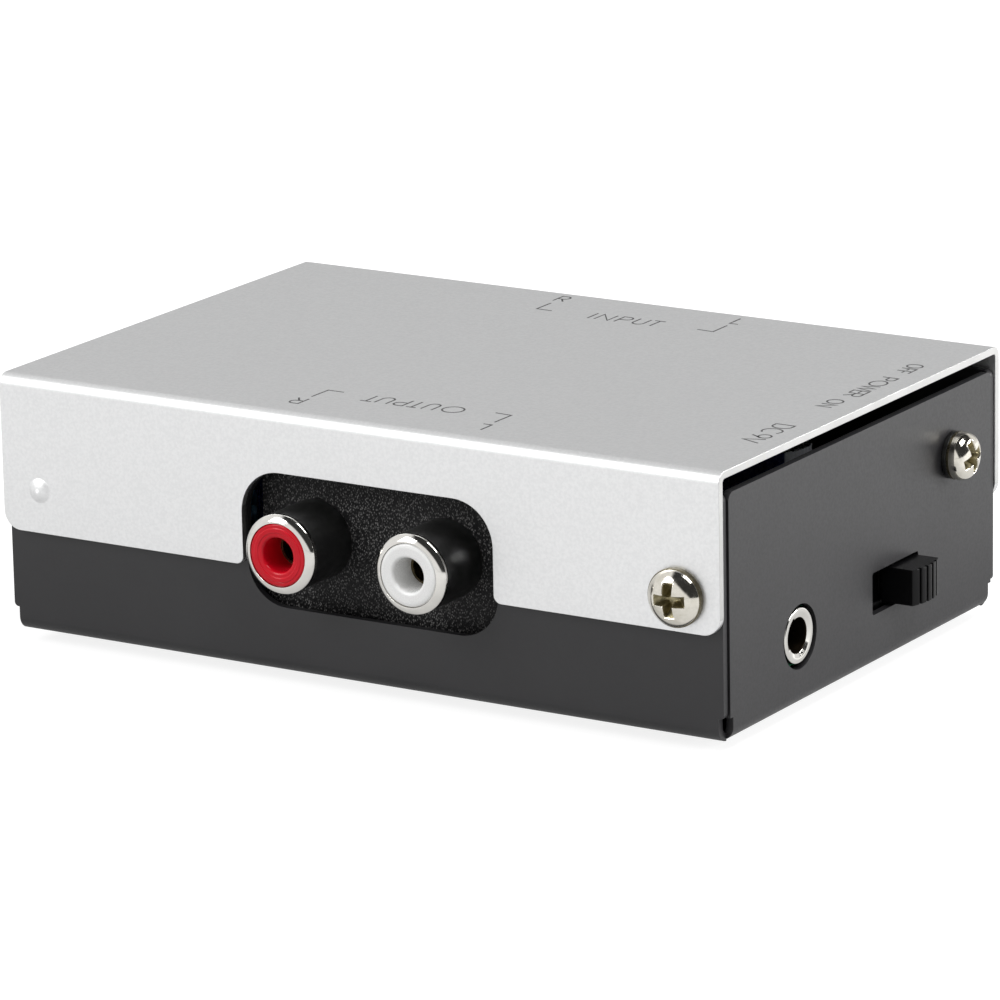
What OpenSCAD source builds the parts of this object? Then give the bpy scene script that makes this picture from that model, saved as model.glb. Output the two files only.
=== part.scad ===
// Phono preamp in a small sheet-metal case: a painted steel tray carries the
// circuit board and a U-shaped aluminium cover drops over it.
// Millimetres, +Z up. The origin is the centre of the plane that the four feet
// rest on. The output jacks face -Y, the input jacks +Y, and the power inlet,
// the power switch and the ground screw +X.
// Every "height" is measured up from the underside of the tray.

/* [Case] */
// Length of the case along X
case_w = 86; // [84:1:120]
// Depth of the case along Y, over the cover's flaps
case_d = 58.6; // [58:0.2:90]
// Height of the case, from the tray's underside to the top of the cover
case_h = 27.8; // [26:0.1:45]

/* [Top cover] */
// Sheet thickness of the cover
cover_t = 0.8; // [0.5:0.1:1.2]
// Outer radius of the cover's two bends
cover_bend_r = 1.2; // [1:0.1:2.5]
// Height of each flap, from its lower edge to the top of the cover
flap_h = 16.6; // [12:0.1:20]
// Radius of the flaps' lower corners
flap_corner_r = 2.0; // [0.5:0.1:3]
// Radius of the flaps' corners beside the jack bay
bay_flare_r = 0.9; // [0.3:0.1:1.5]
// Gap between a flap and the tray's wall
cover_gap = 0.1; // [0.05:0.01:0.2]

/* [Tray] */
// Sheet thickness of the tray
tray_t = 0.8; // [0.6:0.1:1]
// Outer radius of the tray's bends
tray_bend_r = 1.5; // [1.2:0.1:2]
// Height of the tray's walls
tray_wall_h = 25.4; // [24:0.1:26]
// Radius of the walls' upper corners
tray_corner_r = 0.9; // [0.5:0.1:3]
// Height of the open notch at each lower corner
notch_h = 2.55; // [2.2:0.05:4]
// How far the end walls' lower edge stops short of the case's ends
notch_inset = 0.8; // [0.6:0.1:1.4]
// How far the end walls stop short of the case's ends, above the notch
end_wall_inset = 0.2; // [0.1:0.05:0.4]
// Radius of the end walls' lower corners
end_wall_r = 0.5; // [0.2:0.05:0.55]
// Open seam between an end wall and a side wall
seam_gap = 0.15; // [0.05:0.05:0.3]

/* [Cover fixings] */
// Distance of the screws from the case's ends
screw_inset = 4.85; // [4:0.05:8]
// Distance of the detent dimples from the case's ends
dimple_inset = 4.65; // [4:0.05:8]
// Height of the cover screws
cover_screw_height = 14.75; // [13:0.05:20]
// Height of the detent dimples
dimple_height = 15.8; // [13:0.05:20]
// Radius of a dimple at the cover's face
dimple_r = 1.3; // [1:0.1:2]
// How far a dimple stands out
dimple_out = 0.45; // [0.3:0.05:0.6]
// Radius of the tray's bump that sits in the dimple
bump_r = 1.0; // [0.6:0.1:1.2]
// How far the tray's bump stands out
bump_out = 0.35; // [0.15:0.05:0.4]
// Radius of the screws' thread
screw_r = 1.45; // [1:0.05:1.6]
// Radial play of a screw in its nut
thread_gap = 0.05; // [0.03:0.01:0.1]
// Radial play of a screw in a plain hole
screw_hole_gap = 0.3; // [0.1:0.05:0.4]
// Length of a cover screw under its head
cover_screw_len = 5; // [3.5:0.5:7]
// Radius of a cover screw's head
cover_head_r = 3.0; // [2.5:0.1:3.4]
// Height of a pan head
pan_head_h = 2.1; // [1.2:0.1:2.4]
// Height of the thin rim under a pan head's dome
pan_rim_h = 0.6; // [0.2:0.05:0.6]
// Width of that rim beyond the dome
pan_rim_w = 0.1; // [0.1:0.05:0.4]
// Width of the cross recess in a screw head
cross_w = 1.0; // [0.4:0.1:1]
// Length of the cross recess
cross_len = 3.6; // [2:0.1:3.8]
// Depth of the cross recess
cross_depth = 1.1; // [0.5:0.1:1.4]
// Radius of a clinch nut
nut_r = 2.75; // [2.3:0.05:3.2]
// Length of a clinch nut
nut_len = 2.5; // [1.5:0.1:4]

/* [Feet] */
// Height of the rubber feet
foot_h = 1.4; // [0.8:0.1:6]
// Radius of a rubber foot
foot_r = 4.0; // [3:0.5:5]
// Distance of a foot's centre from the tray's outer faces
foot_inset = 10; // [6:0.5:10]

/* [Circuit board] */
// Thickness of the board
board_t = 1.6; // [1:0.1:2]
// Gap between the board and the tray's side walls
board_side_gap = 1.6; // [1.2:0.1:3]
// Gap between the board and the tray's end walls
board_end_gap = 1.6; // [1.4:0.1:3]
// Height of the standoffs above the tray's floor
standoff_h = 2.4; // [2.2:0.1:3]
// Radius of a standoff
standoff_r = 2.5; // [2.2:0.1:3]
// Radius of a standoff's shank in the floor
standoff_shank_r = 2.1; // [1.7:0.1:2.15]
// Radial play of that shank in the floor
standoff_gap = 0.02; // [0.01:0.01:0.05]
// Distance of the standoffs from the board's ends
standoff_end = 14.6; // [13:0.2:16]
// Distance of the standoffs from the board's long edges
standoff_edge = 4.5; // [4:0.5:5]
// Radius of the board screws' thread
board_screw_r = 1.2; // [0.9:0.05:1.3]
// Radius of a board screw's head
board_head_r = 2.5; // [2.2:0.05:2.7]
// How far a board screw ends above the tray's underside
board_screw_end = 1.0; // [0.5:0.1:1.5]

/* [RCA jacks] */
// Centre of the jack pairs along X
jack_x = 2.0; // [-4:0.5:4]
// Distance between the two jacks of a pair
jack_pitch = 15.6; // [14:0.1:17]
// Height of the jacks' axes above the board
jack_axis_h = 9.4; // [8.8:0.1:10]
// Width of the jack bay's opening
bay_w = 30; // [26:0.5:31]
// Height of the jack bay's opening in the tray
bay_h = 14.4; // [13:0.1:15]
// Corner radius of the jack bay's opening
bay_r = 4.6; // [2:0.1:6]
// Width of a jack block
block_w = 28.8; // [26:0.2:30]
// Height of a jack block
block_h = 17.9; // [15:0.1:19]
// Depth of a jack block
block_d = 12; // [10:0.5:13]
// Gap between a jack block's face and the tray's wall
block_gap = 1.3; // [0.6:0.1:2]
// Outer radius of a jack's shell
shell_r = 4.15; // [4:0.01:4.3]
// Wall thickness of the shell
shell_t = 0.85; // [0.5:0.01:0.9]
// How far the shell stands out of the block
shell_out = 7.4; // [6.5:0.1:9]
// How deep the shell sits in the block
shell_in = 8; // [6:0.5:9]
// How much thinner the shell is inside the block than outside it
shell_step = 0.2; // [0.18:0.02:0.3]
// Radial play of a shell in the block and of an insert in its shell
jack_gap = 0.03; // [0.01:0.01:0.05]
// Width of the shell's ground tab
tab_w = 2.0; // [1:0.1:3]
// Thickness of the shell's ground tab and of the centre contact's strip
tab_t = 0.5; // [0.3:0.05:0.7]
// Play around the ground tab in the block
tab_gap = 0.1; // [0.05:0.05:0.2]
// How far the insert stands proud of the shell
insert_out = 0.05; // [0:0.01:0.2]
// Radius of the hole in the insert for a plug's pin
pin_hole_r = 1.75; // [1.65:0.01:1.9]
// Length of the hole in front of the centre contact
pin_hole_len = 3.4; // [2:0.1:4]
// How much the hole widens at its mouth
mouth_flare = 0.4; // [0.2:0.05:0.6]
// Depth of the widened mouth
mouth_depth = 0.45; // [0.2:0.05:0.8]
// Inner radius of the ring groove in the insert's face
groove_r = 2.85; // [2.6:0.05:2.9]
// Width of the ring groove
groove_w = 0.2; // [0.1:0.05:0.3]
// Depth of the ring groove
groove_depth = 0.15; // [0.1:0.05:0.4]
// Outer radius of the centre contact's tube
contact_r = 2.2; // [2.1:0.05:2.4]
// Inner radius of the centre contact's tube, which grips a plug's pin
contact_bore_r = 1.58; // [1.5:0.01:1.59]
// Length of the centre contact's tube
contact_len = 8; // [5:0.5:9]
// Thickness of the tube's closed end
contact_end_t = 0.8; // [0.5:0.1:1.5]
// Play around the centre contact
contact_gap = 0.05; // [0.02:0.01:0.1]
// Radius of the centre contact's tail
tail_r = 1.0; // [0.6:0.1:1.2]
// Gap between the contact's strip and the back of the block
strip_gap = 0.4; // [0.2:0.1:0.8]
// Width of the contact's strip
strip_w = 1.6; // [1:0.1:2]

/* [Power inlet] */
// Place of the inlet's axis along Y
inlet_y = -13.8; // [-16:0.1:-8]
// Height of the inlet's axis above the board
inlet_axis_h = 2.65; // [2.6:0.05:2.8]
// Radius of the inlet's bore, for a 3.5 mm plug
inlet_bore_r = 1.8; // [1.78:0.01:1.85]
// Depth of the bore from the mouth
inlet_depth = 9.5; // [8:0.5:11]
// Outer radius of the metal bushing
bushing_r = 2.85; // [2.7:0.05:3]
// Radius of the bushing's neck in the body
bushing_neck_r = 2.3; // [2.1:0.05:2.4]
// Length of the bushing's neck
bushing_neck_len = 3; // [2:0.5:4]
// Radial play of the neck in the body
bushing_gap = 0.03; // [0.01:0.01:0.05]
// How far the bushing stands proud of the tray's wall
bushing_out = 0.1; // [0:0.1:1]
// Width of the bevel around the bushing's mouth
bushing_bevel = 0.3; // [0.3:0.05:0.7]
// Length of the inlet's body
inlet_body_len = 11; // [10.5:0.5:12]
// Width of the inlet's body
inlet_body_w = 7; // [6.6:0.2:8]
// Height of the inlet's body
inlet_body_h = 5.4; // [5.2:0.1:6]
// Gap between the body and the tray's wall
inlet_wall_gap = 1.0; // [0.7:0.1:1.2]
// Gap around the bushing in the tray's wall
inlet_hole_gap = 0.5; // [0.45:0.05:0.8]
// How far the wall's hole sits off the bushing's axis along Y
inlet_hole_dy = 0.4; // [0:0.05:0.4]
// How far the wall's hole sits below the bushing's axis
inlet_hole_drop = 0.2; // [0:0.05:0.2]
// Radius of the inlet's tip contact
tip_r = 0.9; // [0.5:0.1:1.2]
// Play around the tip contact
tip_gap = 0.1; // [0.05:0.05:0.2]
// Thickness of a terminal leg
leg_t = 0.4; // [0.3:0.05:0.6]
// Width of a terminal leg
leg_w = 1.2; // [0.8:0.1:1.6]
// Distance between neighbouring legs of the inlet
inlet_leg_pitch = 2.2; // [1.8:0.1:2.6]

/* [Power switch] */
// Centre of the switch along Y
switch_y = 6.5; // [3:0.1:7]
// Height of the switch's centre above the board
switch_axis_h = 2.95; // [2.9:0.05:3.3]
// Travel of the switch knob
switch_travel = 3.6; // [2:0.1:4]
// Gap at each end of the knob's travel in the wall's slot
slot_end_gap = 0.3; // [0.2:0.05:0.5]
// Gap above and below the knob in the wall's slot
slot_side_gap = 0.33; // [0.2:0.01:0.6]
// Corner radius of the wall's slot
slot_r = 0.3; // [0.1:0.05:0.5]
// Length of the knob along its travel
knob_len = 5.6; // [4:0.1:6]
// Height of the knob
knob_h = 3.8; // [3:0.05:4]
// How far the knob's ends stand out of the wall
knob_end_out = 2.5; // [1.2:0.05:3]
// How far the knob's middle stands out beyond its ends
knob_bulge = 0.57; // [0.2:0.01:1]
// How deep the knob reaches behind the wall's outer face
knob_in = 1.1; // [0.9:0.1:1.15]
// Number of ribs across the knob's face
rib_count = 5; // [3:1:7]
// Width of the groove between two ribs
rib_groove_w = 0.3; // [0.2:0.02:0.5]
// Depth of the groove between two ribs
rib_groove_d = 0.35; // [0.2:0.05:0.8]
// Length of the switch's metal frame
frame_len = 12.6; // [12:0.1:14]
// Height of the frame
frame_h = 5.9; // [5.6:0.1:6.3]
// Depth of the frame
frame_depth = 5.0; // [4.6:0.1:6]
// Wall thickness of the frame
frame_t = 0.4; // [0.3:0.05:0.5]
// Gap between the frame and the tray's wall
frame_wall_gap = 0.6; // [0.4:0.05:0.7]
// Thickness of the contact wafer that closes the frame
wafer_t = 1.2; // [0.8:0.1:1.5]
// Length of the knob's stem along its travel
stem_len = 4.0; // [3:0.1:5]
// Height of the knob's stem
stem_h = 2.8; // [2:0.1:3.2]
// Gap around the stem in the frame's slot
stem_gap = 0.4; // [0.2:0.05:0.6]
// Length of the knob's foot inside the frame
knob_foot_len = 7.0; // [6.4:0.1:7.2]
// Thickness of the knob's foot
knob_foot_t = 1.5; // [1:0.1:1.6]
// Play of the foot between the frame's top and bottom and behind its front
knob_foot_gap = 0.1; // [0.05:0.01:0.2]
// Thickness of the sliding contact clip
clip_t = 0.3; // [0.2:0.05:0.4]
// Width of the clip
clip_w = 3.0; // [2:0.1:4]
// Length of the clip along the travel
clip_len = 5.0; // [4:0.1:6]
// Gap between the clip and the wafer's contacts
clip_gap = 0.05; // [0.03:0.01:0.1]
// Radius of a wafer contact's head
rivet_head_r = 0.8; // [0.5:0.1:1]
// Height of a wafer contact's head
rivet_head_t = 0.1; // [0.05:0.05:0.2]
// Radius of a wafer contact's pin
rivet_r = 0.45; // [0.3:0.05:0.6]
// Play around a wafer contact's pin
rivet_gap = 0.05; // [0.02:0.01:0.1]
// Distance between neighbouring wafer contacts
rivet_pitch = 3.6; // [3:0.1:4]
// How far the contacts' pins reach behind the wafer
rivet_out = 0.8; // [0.5:0.1:1.2]

/* [Ground terminal] */
// Place of the ground screw along Y
ground_y = 18.8; // [17.5:0.1:20]
// Height of the ground screw
ground_height = 18.45; // [14:0.05:20]
// Radius of the ground screw's head
ground_head_r = 2.55; // [2.4:0.05:3]
// Length of the ground screw under its head
ground_screw_len = 6; // [4:0.5:7]
// Thickness of the clamp washer
washer_t = 0.5; // [0.3:0.05:0.8]
// Outer radius of the clamp washer
washer_r = 2.5; // [2.2:0.05:3.2]
// Radial play of the washer on the screw
washer_gap = 0.15; // [0.1:0.05:0.3]
// Gap between the washer and the faces beside it
washer_face_gap = 0.05; // [0.02:0.01:0.1]

/* [Board parts] */
// Length of an amplifier chip
chip_len = 9.6; // [9:0.1:10]
// Width of an amplifier chip
chip_w = 6.4; // [6:0.1:6.6]
// Thickness of an amplifier chip
chip_t = 3.3; // [2.5:0.1:3.6]
// Gap between a chip and the board
chip_lift = 0.5; // [0.3:0.1:1]
// Place of the chips along X
chip_x = 0; // [-0.5:0.5:0.5]
// Distance of each chip from the centre along Y
chip_y = 5.2; // [5:0.1:6]
// Number of leads on each side of a chip
chip_lead_count = 4; // [2:1:4]
// Distance between neighbouring chip leads
chip_lead_pitch = 2.54; // [2:0.01:2.6]
// Width of a chip lead
chip_lead_w = 0.5; // [0.3:0.05:1]
// Thickness of a chip lead
chip_lead_t = 0.3; // [0.2:0.05:0.4]
// How far a chip lead stands out from the chip's side
chip_lead_out = 0.8; // [0.5:0.05:1]
// Radius of a small electrolytic capacitor
small_cap_r = 2.5; // [2:0.1:2.8]
// Height of a small electrolytic capacitor
small_cap_h = 11; // [7:0.5:16]
// Gap between the small capacitors and the row of input resistors
small_cap_gap = 1.6; // [1:0.1:3]
// Number of columns of small capacitors
small_cap_columns = 3; // [1:1:3]
// Distance between neighbouring columns
small_cap_pitch = 6; // [5.7:0.1:6.2]
// Distance of the two rows of small capacitors from the centre along Y
small_cap_y = 6; // [3:0.5:7]
// Radius of the reservoir capacitor
reservoir_r = 5; // [4:0.5:5]
// Height of the reservoir capacitor
reservoir_h = 14; // [8:0.5:17]
// Gap between the reservoir capacitor and the power inlet's body along X
reservoir_gap = 1.2; // [0.5:0.1:2]
// Place of the reservoir capacitor along Y
reservoir_y = 13; // [12.5:0.5:14]
// Length of a film capacitor
film_cap_len = 7.2; // [6:0.2:8]
// Width of a film capacitor
film_cap_w = 2.5; // [2:0.1:4]
// Height of a film capacitor
film_cap_h = 6.5; // [4:0.5:10]
// Gap between the film capacitors and the reservoir capacitor along X
film_cap_gap = 1.9; // [1:0.1:2.5]
// Number of film capacitors
film_cap_count = 4; // [1:1:4]
// Distance between neighbouring film capacitors
film_cap_pitch = 5.5; // [5:0.1:5.6]
// Radius of a resistor
resistor_r = 1.15; // [0.8:0.05:1.2]
// Length of a resistor
resistor_len = 6.3; // [5:0.1:7]
// Distance between a resistor's two leads
resistor_lead_pitch = 10.16; // [9:0.01:10.2]
// Gap between a resistor and the board
resistor_lift = 0.1; // [0:0.05:0.5]
// Radius of the leads of the resistors, the diode and the regulator
lead_r = 0.3; // [0.2:0.05:0.35]
// Distance of the row of input resistors' leads from the board's end
resistor_row_edge = 2; // [1:0.1:3]
// Number of resistors in that row
resistor_row_count = 6; // [1:1:6]
// Distance between neighbouring resistors of that row
resistor_row_pitch = 5; // [3:0.1:5.2]
// Gap between the two resistor pairs and the jack blocks beside them
resistor_pair_gap = 2.7; // [2:0.1:4]
// Distance of the nearer resistor of a pair from the centre along Y
resistor_pair_y = 15.1; // [15:0.1:15.2]
// Distance between the two resistors of a pair
resistor_pair_pitch = 2.6; // [2.4:0.1:2.7]
// Radius of the protection diode
diode_r = 1.35; // [1:0.05:1.4]
// Length of the protection diode
diode_len = 5.2; // [4:0.1:5.5]
// Distance between the diode's two leads
diode_lead_pitch = 7.62; // [7:0.01:8.5]
// Gap between the diode's lead and the power inlet's body
diode_gap = 1; // [0.8:0.1:2]
// Place of the diode along Y
diode_y = -15.5; // [-16:0.1:-15]
// Radius of the regulator's round back
regulator_r = 2.3; // [2:0.1:2.4]
// Distance of the regulator's flat face from its centre
regulator_flat = 1.3; // [1:0.1:1.5]
// Height of the regulator's case
regulator_h = 4.6; // [4:0.1:5]
// Gap between the regulator's case and the board
regulator_lift = 3; // [1:0.5:5]
// Gap between the regulator's flat face and the switch's legs
regulator_gap = 7.1; // [6:0.1:8]
// Place of the regulator along Y
regulator_y = 5; // [3:0.5:7]
// Distance between neighbouring regulator leads
regulator_lead_pitch = 1.27; // [1:0.01:1.4]

/* [Hidden] */
$fn = 48;

// How far a cutting shape overshoots the faces that it cuts
cut = 1;
front = -1;
rear = 1;
right_channel = -1;
left_channel = 1;

// Case planes
half_w = case_w / 2;
half_d = case_d / 2;
tray_y = half_d - cover_t - cover_gap;
tray_z = foot_h;
top_z = tray_z + case_h;
flap_z = top_z - flap_h;
rim_z = tray_z + tray_wall_h;
notch_z = tray_z + notch_h;
side_wall_x = half_w - tray_t;
end_wall_y = tray_y - tray_t;

// Fixings
screw_hole_r = screw_r + screw_hole_gap;
nut_hole_r = screw_r + thread_gap;
screw_off = half_w - screw_inset;
dimple_off = half_w - dimple_inset;
cover_screw_z = tray_z + cover_screw_height;
dimple_z = tray_z + dimple_height;

// Board planes
board_z = tray_z + tray_t + standoff_h;
board_top = board_z + board_t;
board_x = side_wall_x - board_side_gap;
board_y = end_wall_y - board_end_gap;
standoff_x = board_x - standoff_end;
standoff_y = board_y - standoff_edge;
foot_x = half_w - foot_inset;
foot_y = tray_y - foot_inset;

// Jacks
jack_z = board_top + jack_axis_h;
block_y = end_wall_y - block_gap;
shell_seat_r = shell_r - shell_step;
insert_r = shell_r - shell_t - jack_gap;
insert_face = shell_out + insert_out;
contact_face = insert_face - pin_hole_len - contact_gap;
contact_back = contact_face - contact_len;
strip_z = -block_d - strip_gap - tab_t;

// Power inlet
inlet_z = board_top + inlet_axis_h;
inlet_face_x = side_wall_x - inlet_wall_gap;
inlet_back_x = inlet_face_x - inlet_body_len;
bushing_face_x = half_w + bushing_out;
bushing_back_x = inlet_face_x - bushing_neck_len;
bore_end_x = bushing_face_x - inlet_depth;

// Power switch
switch_z = board_top + max(switch_axis_h, frame_h / 2);
knob_y = switch_y + switch_travel / 2;
slot_len = knob_len + switch_travel + 2 * slot_end_gap;
slot_h = knob_h + 2 * slot_side_gap;
frame_face_x = side_wall_x - frame_wall_gap;
frame_back_x = frame_face_x - frame_depth;
frame_inner_h = frame_h - 2 * frame_t;
wafer_face_x = frame_back_x + wafer_t;
stem_root_x = frame_face_x - frame_t - knob_foot_gap;
knob_foot_x = stem_root_x - knob_foot_t;
clip_x = wafer_face_x + rivet_head_t + clip_gap;
knob_face_r = (knob_len * knob_len / 4 + knob_bulge * knob_bulge) / (2 * knob_bulge);
knob_tip_x = half_w + knob_end_out + knob_bulge;

// Ground terminal
ground_z = tray_z + ground_height;
washer_x = half_w + washer_face_gap;
ground_head_x = washer_x + washer_t + washer_face_gap;

// Board parts, from the board's two ends inwards
resistor_row_x = -board_x + resistor_row_edge + resistor_lead_pitch / 2;
small_cap_x = resistor_row_x + resistor_lead_pitch / 2 + lead_r + small_cap_gap + small_cap_r;
resistor_pair_x = jack_x - block_w / 2 - resistor_pair_gap - lead_r - resistor_lead_pitch / 2;
reservoir_x = inlet_back_x - reservoir_gap - reservoir_r;
film_cap_x = reservoir_x - reservoir_r - film_cap_gap - film_cap_len / 2;
diode_x = inlet_back_x - diode_gap - lead_r - diode_lead_pitch / 2;
regulator_x = frame_back_x - rivet_out - leg_t - regulator_gap - regulator_flat;

// ---------------------------------------------------------------- helpers

// Extrudes a (Y, Z) outline from x0 to x1
module along_x(x0, x1) {
    translate([x0, 0, 0]) rotate([90, 0, 90]) linear_extrude(x1 - x0) children();
}

// Extrudes an (X, Z) outline from y0 to y1
module along_y(y0, y1) {
    translate([0, y1, 0]) rotate([90, 0, 0]) linear_extrude(y1 - y0) children();
}

// Turns a piece drawn up along +Z so that it points out of the right side
module facing_right() {
    rotate([0, 90, 0]) children();
}

// Draws a front piece as it is, or mirrored to the rear
module at_end(end) {
    if (end == rear) mirror([0, 1, 0]) children();
    else children();
}

// Box centred on X and Y, from z0 up
module centred_box(length, width, height) {
    translate([-length / 2, -width / 2, 0]) cube([length, width, height]);
}

// Rectangle centred on the origin with four round corners
module rounded_rect_2d(width, height, r) {
    square([width - 2 * r, height], center = true);
    square([width, height - 2 * r], center = true);
    for (x = [-1, 1], y = [-1, 1]) {
        translate([x * (width / 2 - r), y * (height / 2 - r)]) circle(r);
    }
}

// What a round corner of radius r takes off a square corner at the origin,
// whose sides run along +X and +Y
module corner_waste_2d(r) {
    difference() {
        translate([-cut, -cut]) square([r + cut, r + cut]);
        translate([r, r]) circle(r);
        translate([-cut, r]) square([r + 2 * cut, cut]);
        translate([r, -cut]) square([cut, r + 2 * cut]);
    }
}

// Bend of a sheet from flat to upright, with the wall above it:
// it starts at the origin, where the flat ends
module bend_2d(height, t, r) {
    intersection() {
        translate([0, r]) difference() {
            circle(r);
            circle(r - t);
        }
        square([r, r]);
    }
    translate([r - t, r]) square([t, height - r]);
}

// Spherical cap of base radius r that stands out by h along +Z
module cap(r, h) {
    ball_r = (r * r + h * h) / (2 * h);
    intersection() {
        translate([0, 0, h - ball_r]) sphere(ball_r);
        translate([0, 0, -h]) cylinder(h = 3 * h, r = r);
    }
}

// Pan head screw: head up along +Z from the origin, thread below it
module pan_screw(head_r, thread_r, length) {
    dome_r = head_r - pan_rim_w;
    dome_h = pan_head_h - pan_rim_h;
    ball_r = (dome_r * dome_r + dome_h * dome_h) / (2 * dome_h);
    difference() {
        union() {
            cylinder(h = pan_rim_h, r = head_r);
            intersection() {
                translate([0, 0, pan_head_h - ball_r]) sphere(ball_r);
                cylinder(h = pan_head_h, r = dome_r);
            }
            translate([0, 0, -length]) cylinder(h = length + pan_rim_h, r = thread_r);
        }
        for (turn = [0, 90]) rotate([0, 0, turn]) {
            translate([0, 0, pan_head_h - cross_depth]) centred_box(cross_len, cross_w, cross_depth + cut);
        }
    }
}

// Clinch nut that hangs below the origin
module clinch_nut() {
    translate([0, 0, -nut_len]) difference() {
        cylinder(h = nut_len, r = nut_r);
        translate([0, 0, -cut]) cylinder(h = nut_len + 2 * cut, r = nut_hole_r);
    }
}

// Axial part's two leads: each leaves the body's end and turns down to the board
module axial_leads(body_len, pitch, axis_h) {
    for (side = [-1, 1]) {
        translate([side * pitch / 2, 0, 0]) cylinder(h = axis_h, r = lead_r);
        translate([side * pitch / 2, 0, axis_h]) sphere(lead_r);
        translate([side * body_len / 2, 0, axis_h])
            rotate([0, side * 90, 0]) cylinder(h = (pitch - body_len) / 2, r = lead_r);
    }
}

// Where the cover screw and the detent dimple sit: the rear has them swapped
function screw_x(end) = -end * screw_off;
function dimple_x(end) = end * dimple_off;

// Places a piece drawn up along +Z on the outside of an end, at depth y
module on_end(end, x, y, z) {
    at_end(end) translate([x, -y, z]) rotate([90, 0, 0]) children();
}

// ---------------------------------------------------------------- case

// Opening of the jack bay, as seen from the front
module bay_2d() {
    translate([jack_x, jack_z]) rounded_rect_2d(bay_w, bay_h, bay_r);
}

// The bay's opening run out through the flap's lower edge
module bay_notch_2d() {
    bay_2d();
    translate([jack_x - bay_w / 2, flap_z - cut]) square([bay_w, jack_z - flap_z + cut]);
    for (side = [-1, 1]) translate([jack_x + side * bay_w / 2, flap_z]) {
        if (side > 0) corner_waste_2d(bay_flare_r);
        else mirror([1, 0]) corner_waste_2d(bay_flare_r);
    }
}

module tray_end_wall_2d() {
    wall_w = case_w - 2 * end_wall_inset;
    difference() {
        translate([-wall_w / 2, notch_z]) square([wall_w, rim_z - notch_z]);
        for (side = [0, 1]) mirror([side, 0]) {
            translate([-wall_w / 2, notch_z]) corner_waste_2d(end_wall_r);
            translate([-wall_w / 2, rim_z]) mirror([0, 1]) corner_waste_2d(tray_corner_r);
        }
    }
}

module tray_side_wall_2d() {
    wall_w = 2 * (end_wall_y - seam_gap);
    difference() {
        translate([-wall_w / 2, notch_z]) square([wall_w, rim_z - notch_z]);
        for (side = [0, 1]) mirror([side, 0]) {
            translate([-wall_w / 2, rim_z]) mirror([0, 1]) corner_waste_2d(tray_corner_r);
        }
    }
}

// Folded tray without its holes
module tray_blank() {
    flat_x = half_w - tray_bend_r;
    flat_y = tray_y - tray_bend_r;
    lower_x = half_w - notch_inset;
    translate([0, 0, tray_z]) centred_box(2 * flat_x, 2 * flat_y, tray_t);
    for (side = [0, 1]) {
        mirror([0, side, 0]) along_x(-lower_x, lower_x)
            translate([flat_y, tray_z]) bend_2d(notch_h, tray_t, tray_bend_r);
        mirror([side, 0, 0]) along_y(-flat_y, flat_y)
            translate([flat_x, tray_z]) bend_2d(notch_h, tray_t, tray_bend_r);
        mirror([0, side, 0]) along_y(end_wall_y, tray_y) tray_end_wall_2d();
        mirror([side, 0, 0]) along_x(side_wall_x, half_w) tray_side_wall_2d();
    }
}

module chassis_tray() {
    color([0.16, 0.16, 0.17]) {
        difference() {
            tray_blank();
            for (end = [front, rear]) {
                at_end(end) along_y(-tray_y - cut, -end_wall_y + cut) bay_2d();
                on_end(end, screw_x(end), end_wall_y - cut, cover_screw_z)
                    cylinder(h = tray_t + 2 * cut, r = screw_hole_r);
                on_end(end, dimple_x(end), end_wall_y, dimple_z) cap(bump_r, bump_out);
            }
            translate([side_wall_x - cut, inlet_y + inlet_hole_dy, inlet_z - inlet_hole_drop])
                facing_right() cylinder(h = tray_t + 2 * cut, r = bushing_r + inlet_hole_gap);
            along_x(side_wall_x - cut, half_w + cut)
                translate([switch_y, switch_z]) rounded_rect_2d(slot_len, slot_h, slot_r);
            translate([side_wall_x - cut, ground_y, ground_z])
                facing_right() cylinder(h = tray_t + 2 * cut, r = screw_hole_r);
            for (x = [-1, 1], y = [-1, 1]) {
                translate([x * standoff_x, y * standoff_y, tray_z - cut])
                    cylinder(h = tray_t + 2 * cut, r = standoff_shank_r + standoff_gap);
            }
        }
        for (end = [front, rear]) {
            on_end(end, dimple_x(end), tray_y, dimple_z) cap_on_face(bump_r, bump_out);
        }
    }
}

// Cap that stands on a face, without what lies under the face
module cap_on_face(r, h) {
    intersection() {
        cap(r, h);
        cylinder(h = h + cut, r = r);
    }
}

module top_cover() {
    flap_y = half_d - cover_t;
    color([0.82, 0.82, 0.83]) {
        difference() {
            union() {
                translate([-half_w, cover_bend_r - half_d, top_z - cover_t])
                    cube([case_w, case_d - 2 * cover_bend_r, cover_t]);
                for (side = [0, 1]) mirror([0, side, 0]) along_x(-half_w, half_w)
                    translate([half_d - cover_bend_r, top_z]) mirror([0, 1])
                        bend_2d(flap_h, cover_t, cover_bend_r);
            }
            for (end = [front, rear]) {
                at_end(end) along_y(-half_d - cut, -flap_y + cut) {
                    bay_notch_2d();
                    for (side = [0, 1]) mirror([side, 0])
                        translate([-half_w, flap_z]) corner_waste_2d(flap_corner_r);
                }
                on_end(end, screw_x(end), flap_y - cut, cover_screw_z)
                    cylinder(h = cover_t + 2 * cut, r = screw_hole_r);
                on_end(end, dimple_x(end), flap_y, dimple_z) cap(dimple_r, dimple_out);
            }
        }
        for (end = [front, rear]) {
            on_end(end, dimple_x(end), half_d, dimple_z) cap_on_face(dimple_r, dimple_out);
        }
    }
}

module cover_screws() {
    color([0.75, 0.73, 0.68]) for (end = [front, rear]) {
        on_end(end, screw_x(end), half_d, cover_screw_z)
            pan_screw(cover_head_r, screw_r, cover_screw_len);
    }
}

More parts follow.
